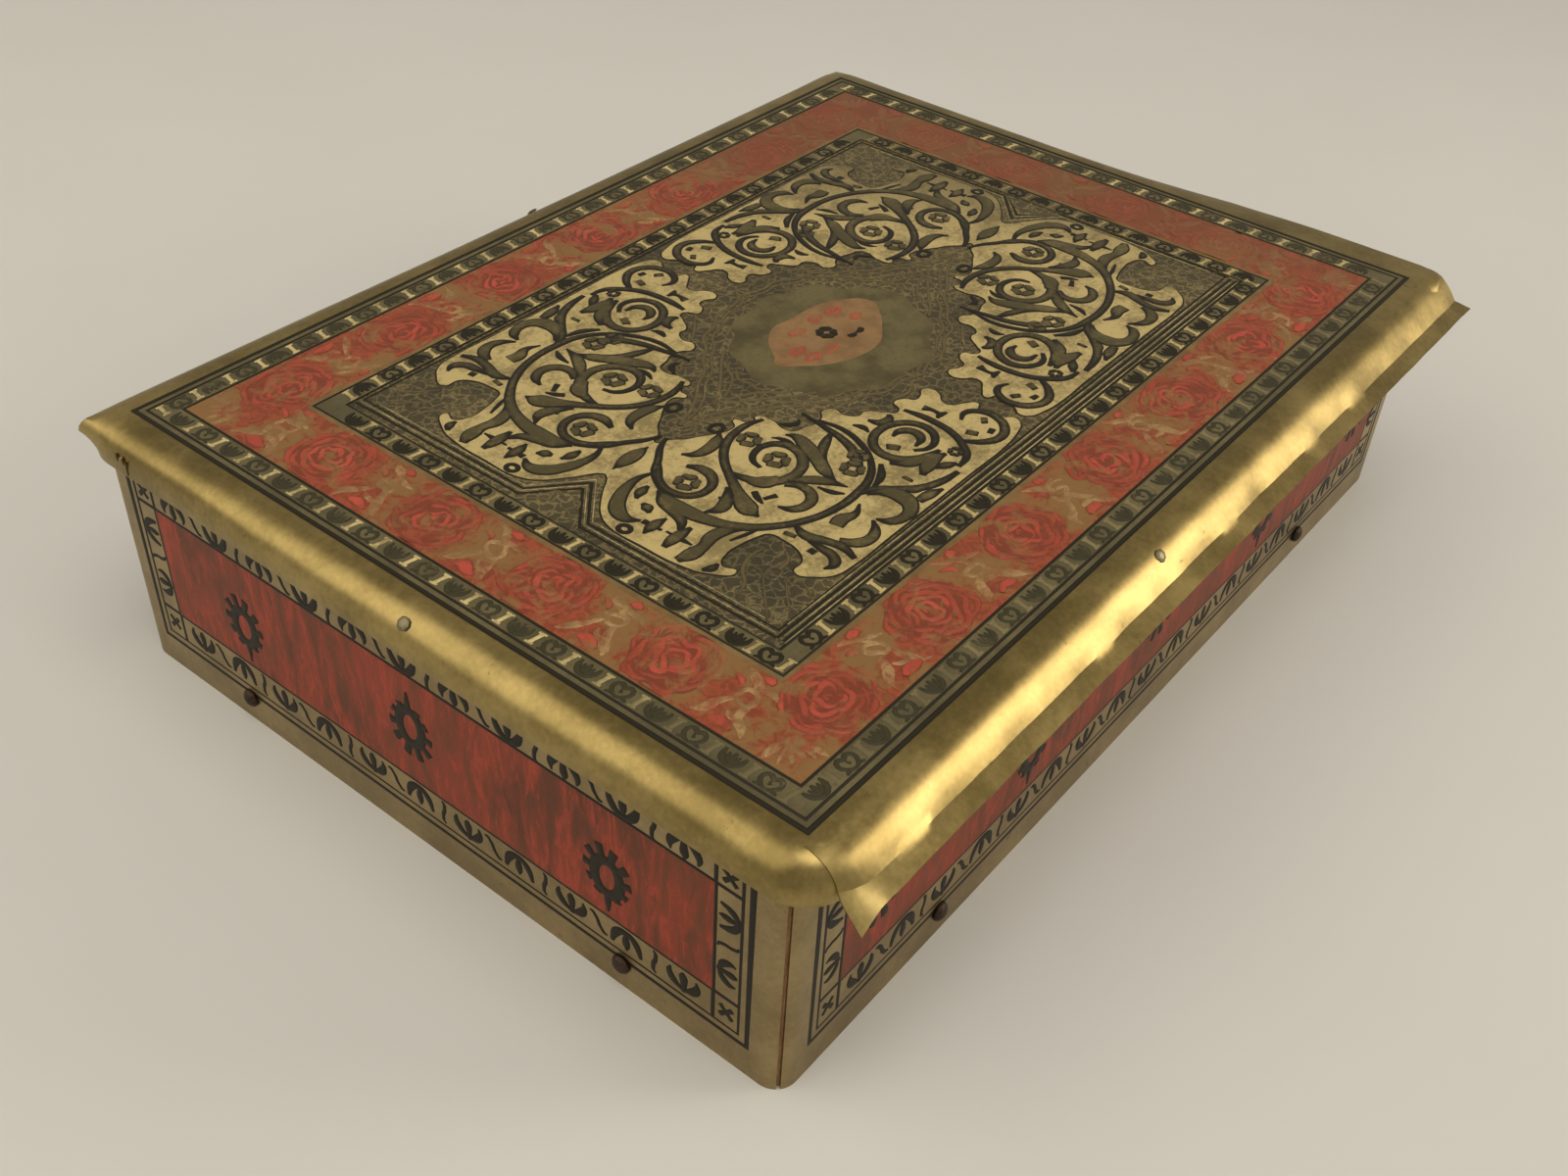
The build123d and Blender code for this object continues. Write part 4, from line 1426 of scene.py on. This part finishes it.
# %% [markdown]
# ## The brass round the body
# One strip of sheet goes round the walls and meets at the front left corner, where the join has
# opened a little. A cube with its upright edges bevelled gives it. The middle strip of that
# corner is taken away for the join.

# %% The strip and the nails
body_corner = 2.6 * mm


def in_the_join(corners):
    """A test: the middle strip of the front left corner."""
    middle = sum(corners, Vector()) / len(corners)
    to_left, to_front = middle.x + side_x, middle.y + side_y
    return middle.x < 0 > middle.y and abs(to_left - to_front) < 0.05 * mm


def make_cladding():
    strip = rounded_block("body_cladding", side_x, side_y, 0, rim, body_corner, 9)
    for level in (0, rim):
        work(strip, "FACE", all_level(level), delete_faces)
    work(strip, "FACE", in_the_join, delete_faces)
    finish_with(strip, "SOLIDIFY", thickness=sheet, offset=-1)
    return strip


cladding = make_cladding()
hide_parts("side_cladding")
dress(cladding, "body", cladding_brass)

nail_height, nail_radius = 3.7 * mm, 1.15 * mm
nail_x, nail_y = 43.5 * mm, 29.5 * mm
nail_places = [(x, side * side_y, (0, side)) for side in (-1, 1) for x in (-nail_x, nail_x)]
nail_places += [(side * side_x, y, (side, 0)) for side in (-1, 1) for y in (-nail_y, nail_y)]


def make_nail(x, y, out):
    """A domed head, pointing out of its wall."""
    head = start("nail", bpy.ops.mesh.primitive_uv_sphere_add,
                 segments=20, ring_count=12, radius=nail_radius)
    for vertex in head.data.vertices:
        flat = 0.62 if vertex.co.z > 0 else 0.2
        vertex.co.z = vertex.co.z * flat + 0.18 * mm
    return laid(head, Matrix.Translation((x, y, nail_height)) @ pointing((*out, 0)))


def rusted_iron():
    look = Finish("rusted_iron", metallic=0.7)
    cloud, pits = look.noise(1.2, 4, 0.6), look.noise(0.3, 3, 0.6)
    tone = look.mix(cloud.step(0.35, 0.7), (44, 38, 34), (78, 58, 44))
    look.surface(
        look.mix(pits.step(0.6, 0.75), tone, (104, 66, 42)),
        cloud * 0.25 + 0.4,
        cloud + pits * 0.6, 0.06)
    return look


iron = rusted_iron()
nails = joined("body_nail_heads", [make_nail(*place) for place in nail_places])
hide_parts("body_nails")
dress(nails, "body", iron)

# %% [markdown]
# ## The printed sides
# All four walls have the same print: a thick and a thin line, a band of club-shaped leaves with
# slashes between them, and a red field with a row of rings of club petals. Only the length
# differs, so one function draws a side of any length. The top of the frame runs up behind the
# lid.

# %% Drawings for a side
line_top = 11.4
outer_half, second_half, inner_half = 13.1, 12.0, 7.8
outer_end, second_end, inner_end = 4.3, 5.4, 8.6
ring_pitch, ring_end = 27.8, 14
high_ring, low_ring = 0.3, -2.0

club_leaf = [
    [(0, -1.6, .3), (0.05, -0.3, .5), (0, 0.9, .62), (0, 1.5, .25)],
    *twice((-0.2, -1.3, .3), (-1.3, -0.7, .6), (-1.95, 0.4, .5), (-1.8, 1.3, .15)),
]
arch_leaf = [
    [(-2.1, -1.3, .3), (-1.6, 0.3, .6), (-0.8, 1.15, .55), (0, 1.3, .5), (0.8, 1.15, .55),
     (1.6, 0.3, .6), (2.1, -1.3, .3)],
    [(0, 1.0, .3), (0, 0.1, .58), (0, -0.9, .5), (0, -1.5, .15)],
]
slash = [[(-0.75, 1.6, .16), (-0.25, 1.3, .3), (0.25, -1.3, .3), (0.8, -1.6, .16)]]
cross_mark = [[(-0.9, -lean, .4), (0, 0, .34), (0.9, lean, .4)] for lean in (0.9, -0.9)]


def side_leaves(half):
    """The leaves and slashes of the bands, for a side with that half length."""
    strokes = []
    middle_band = (second_half + inner_half) / 2
    levels = (-middle_band, middle_band - 0.4)
    inner = half - inner_end
    count = 2 * round((inner - 2.5) / 7.5) + 1  # odd, so that one stands in the middle
    pitch = 2 * inner / count
    for level, flip in zip(levels, (0, math.pi)):
        for i in range(count):
            x = -inner + (i + 0.5) * pitch
            motif = arch_leaf if i % 2 else club_leaf
            strokes += [turned(line, flip, x, level, 0.92) for line in motif]
            if i:
                lean = 0.35 if i % 2 else -0.35
                strokes += [turned(line, lean, x - pitch / 2, level, 0.92) for line in slash]
    for end in (-1, 1):
        x = end * (half - 6.95)
        for level, motif in ((-3.9, club_leaf), (0, slash), (3.9, arch_leaf)):
            strokes += [turned(line, -end * math.pi / 2, x, level, 0.8) for line in motif]
        strokes += [turned(line, 0, x, level, 0.85) for level in levels for line in cross_mark]
    return strokes


def side_lines(half):
    """The ruled lines of a side."""
    second, inner = half - second_end, half - inner_end
    lines = [(thick, (-x, line_top), (-x, -y), (x, -y), (x, line_top)) for thick, x, y in (
        (0.4, half - outer_end, outer_half), (0.22, second, second_half))]
    lines += [(0.26, (x, -second_half), (x, line_top)) for x in (-inner, inner)]
    lines += [(0.26, (-second, y), (second, y)) for y in (-inner_half, inner_half)]
    return lines


def club_ring(x, y, flip):
    """An oval ring with petals like clubs: a thin point at one end, long ones at the other."""
    half_wide, half_tall, petals = 1.7, 2.4, 11
    strokes = [circle(x, y, half_wide, half_tall, 0.7, 12)]
    for k in range(petals):
        turn = 2 * math.pi * k / petals
        c, s = math.cos(flip + math.pi / 2 + turn), math.sin(flip + math.pi / 2 + turn)
        reach, tip = (5.3, 0.2) if k == 0 else (4.2 - 0.6 * math.cos(turn), 0.6)
        strokes.append([(x + c * wide, y + s * tall, half_width) for wide, tall, half_width in (
            (half_wide, half_tall, .36), (half_wide + 0.8, half_tall + 0.8, .5),
            (reach - 1.1, reach - 0.3, tip))])
    return strokes


def side_rings(half):
    """A ring in the middle and others beside it, every second one lower and upside down."""
    beside = int((half - ring_end) / ring_pitch)
    return [stroke for i in range(-beside, beside + 1) for stroke in club_ring(
        i * ring_pitch, low_ring if i % 2 else high_ring, math.pi if i % 2 else 0)]


def side_field():
    """The red field of the sides: upright wavering streaks, pink over brown."""
    look = Finish("side_field", 0.3, metallic=0.15)
    tall = look.stretched(1, 1, 0.24)
    streak = look.noise(2.1, 4, 0.6, tall, 0.8)
    thread = look.noise(0.7, 4, 0.65, tall, 1.2)
    cloud, fine = look.noise(13, 4, 0.6), look.noise(0.35, 3, 0.6)
    brown = look.mix(cloud.step(0.35, 0.65), (94, 48, 23), (110, 56, 28))
    red = look.mix((streak + cloud * 0.3).step(0.5, 0.8), brown, (136, 54, 30))
    pink = (thread * 0.6 + streak * 0.5).step(0.56, 0.68)
    look.surface(
        look.mix(pink * 0.65, red, (168, 66, 44)),
        fine * 0.2 + thread * 0.1 + 0.34,
        thread * 0.7 + fine * 0.4, 0.05)
    return look


# %% The four sides
streaked = side_field()
half_x, half_y = side_x / mm, side_y / mm
sides = [(left_face, half_y), (right_face, half_y), (front_face, half_x), (back_face, half_x)]
drawings = {"side_lines": [], "side_leaves": [], "side_rings": [], "side_fields": []}
for face, half in sides:
    for pieces, piece in zip(drawings.values(), (
        ruled("lines", side_lines(half), 0.06),
        ridges("leaves", side_leaves(half), 0.06, 0, 1, 3),
        ridges("rings", side_rings(half), 0.07, 0.03, 1, 3),
        band("field", (half - inner_end, inner_half), None, 0.03),
    )):
        pieces.append(laid(piece, face))
for name, pieces in drawings.items():
    dress(joined(name, pieces), "body", streaked if name == "side_fields" else black_ink)

# %% [markdown]
# ## Wood, hinges and pins
# The boards keep their shape from the frame. Their wood is long streaks of noise along the
# grain, with darker pores. The grain runs along each board, so there is one finish for each
# direction.

# %% Finishes for the carried-over pieces
def wood(name, light, dark, along_x):
    look = Finish(name, roughness=0.6)
    grain_way = look.stretched(0.09, 1, 1) if along_x else look.stretched(1, 0.09, 1)
    broad = look.noise(5, 4, 0.6, grain_way, 0.6)
    fibre = look.noise(0.6, 4, 0.65, grain_way)
    pores = look.noise(0.35, 2, 0.6, grain_way).step(0.62, 0.7)
    tone = look.mix((broad + fibre * 0.4).step(0.45, 0.95), light, dark)
    look.surface(
        look.mix(pores * 0.6, tone, (84, 54, 30)),
        fibre * 0.2 + 0.5,
        fibre - pores * 0.6, 0.06)
    return look


case_long = wood("case_wood_long", (176, 132, 84), (132, 90, 52), True)
case_deep = wood("case_wood_deep", (176, 132, 84), (132, 90, 52), False)
inner_long = wood("inner_wood_long", (190, 144, 92), (150, 104, 60), True)
inner_deep = wood("inner_wood_deep", (190, 144, 92), (150, 104, 60), False)
kept_finishes = {
    case_long: ["base_board", "wall_front", "wall_back", "lid_board"],
    case_deep: ["wall_left", "wall_right"],
    inner_long: ["lid_liner"],
    inner_deep: ["divider"],
    hinge_brass: [f"hinge_{side}_{part}" for side in ("left", "right")
                  for part in ("body_leaf", "lid_leaf", "pin")],
    # The pins take the darker brass: painted shade that dims them.
    shaded_brass: ["lid_pins"],
    iron: ["hinge_body_nails", "hinge_lid_nails"],
}
for look, names in kept_finishes.items():
    look.give(*[bpy.data.objects[name] for name in names])
    print(look.material.name, "on", names)
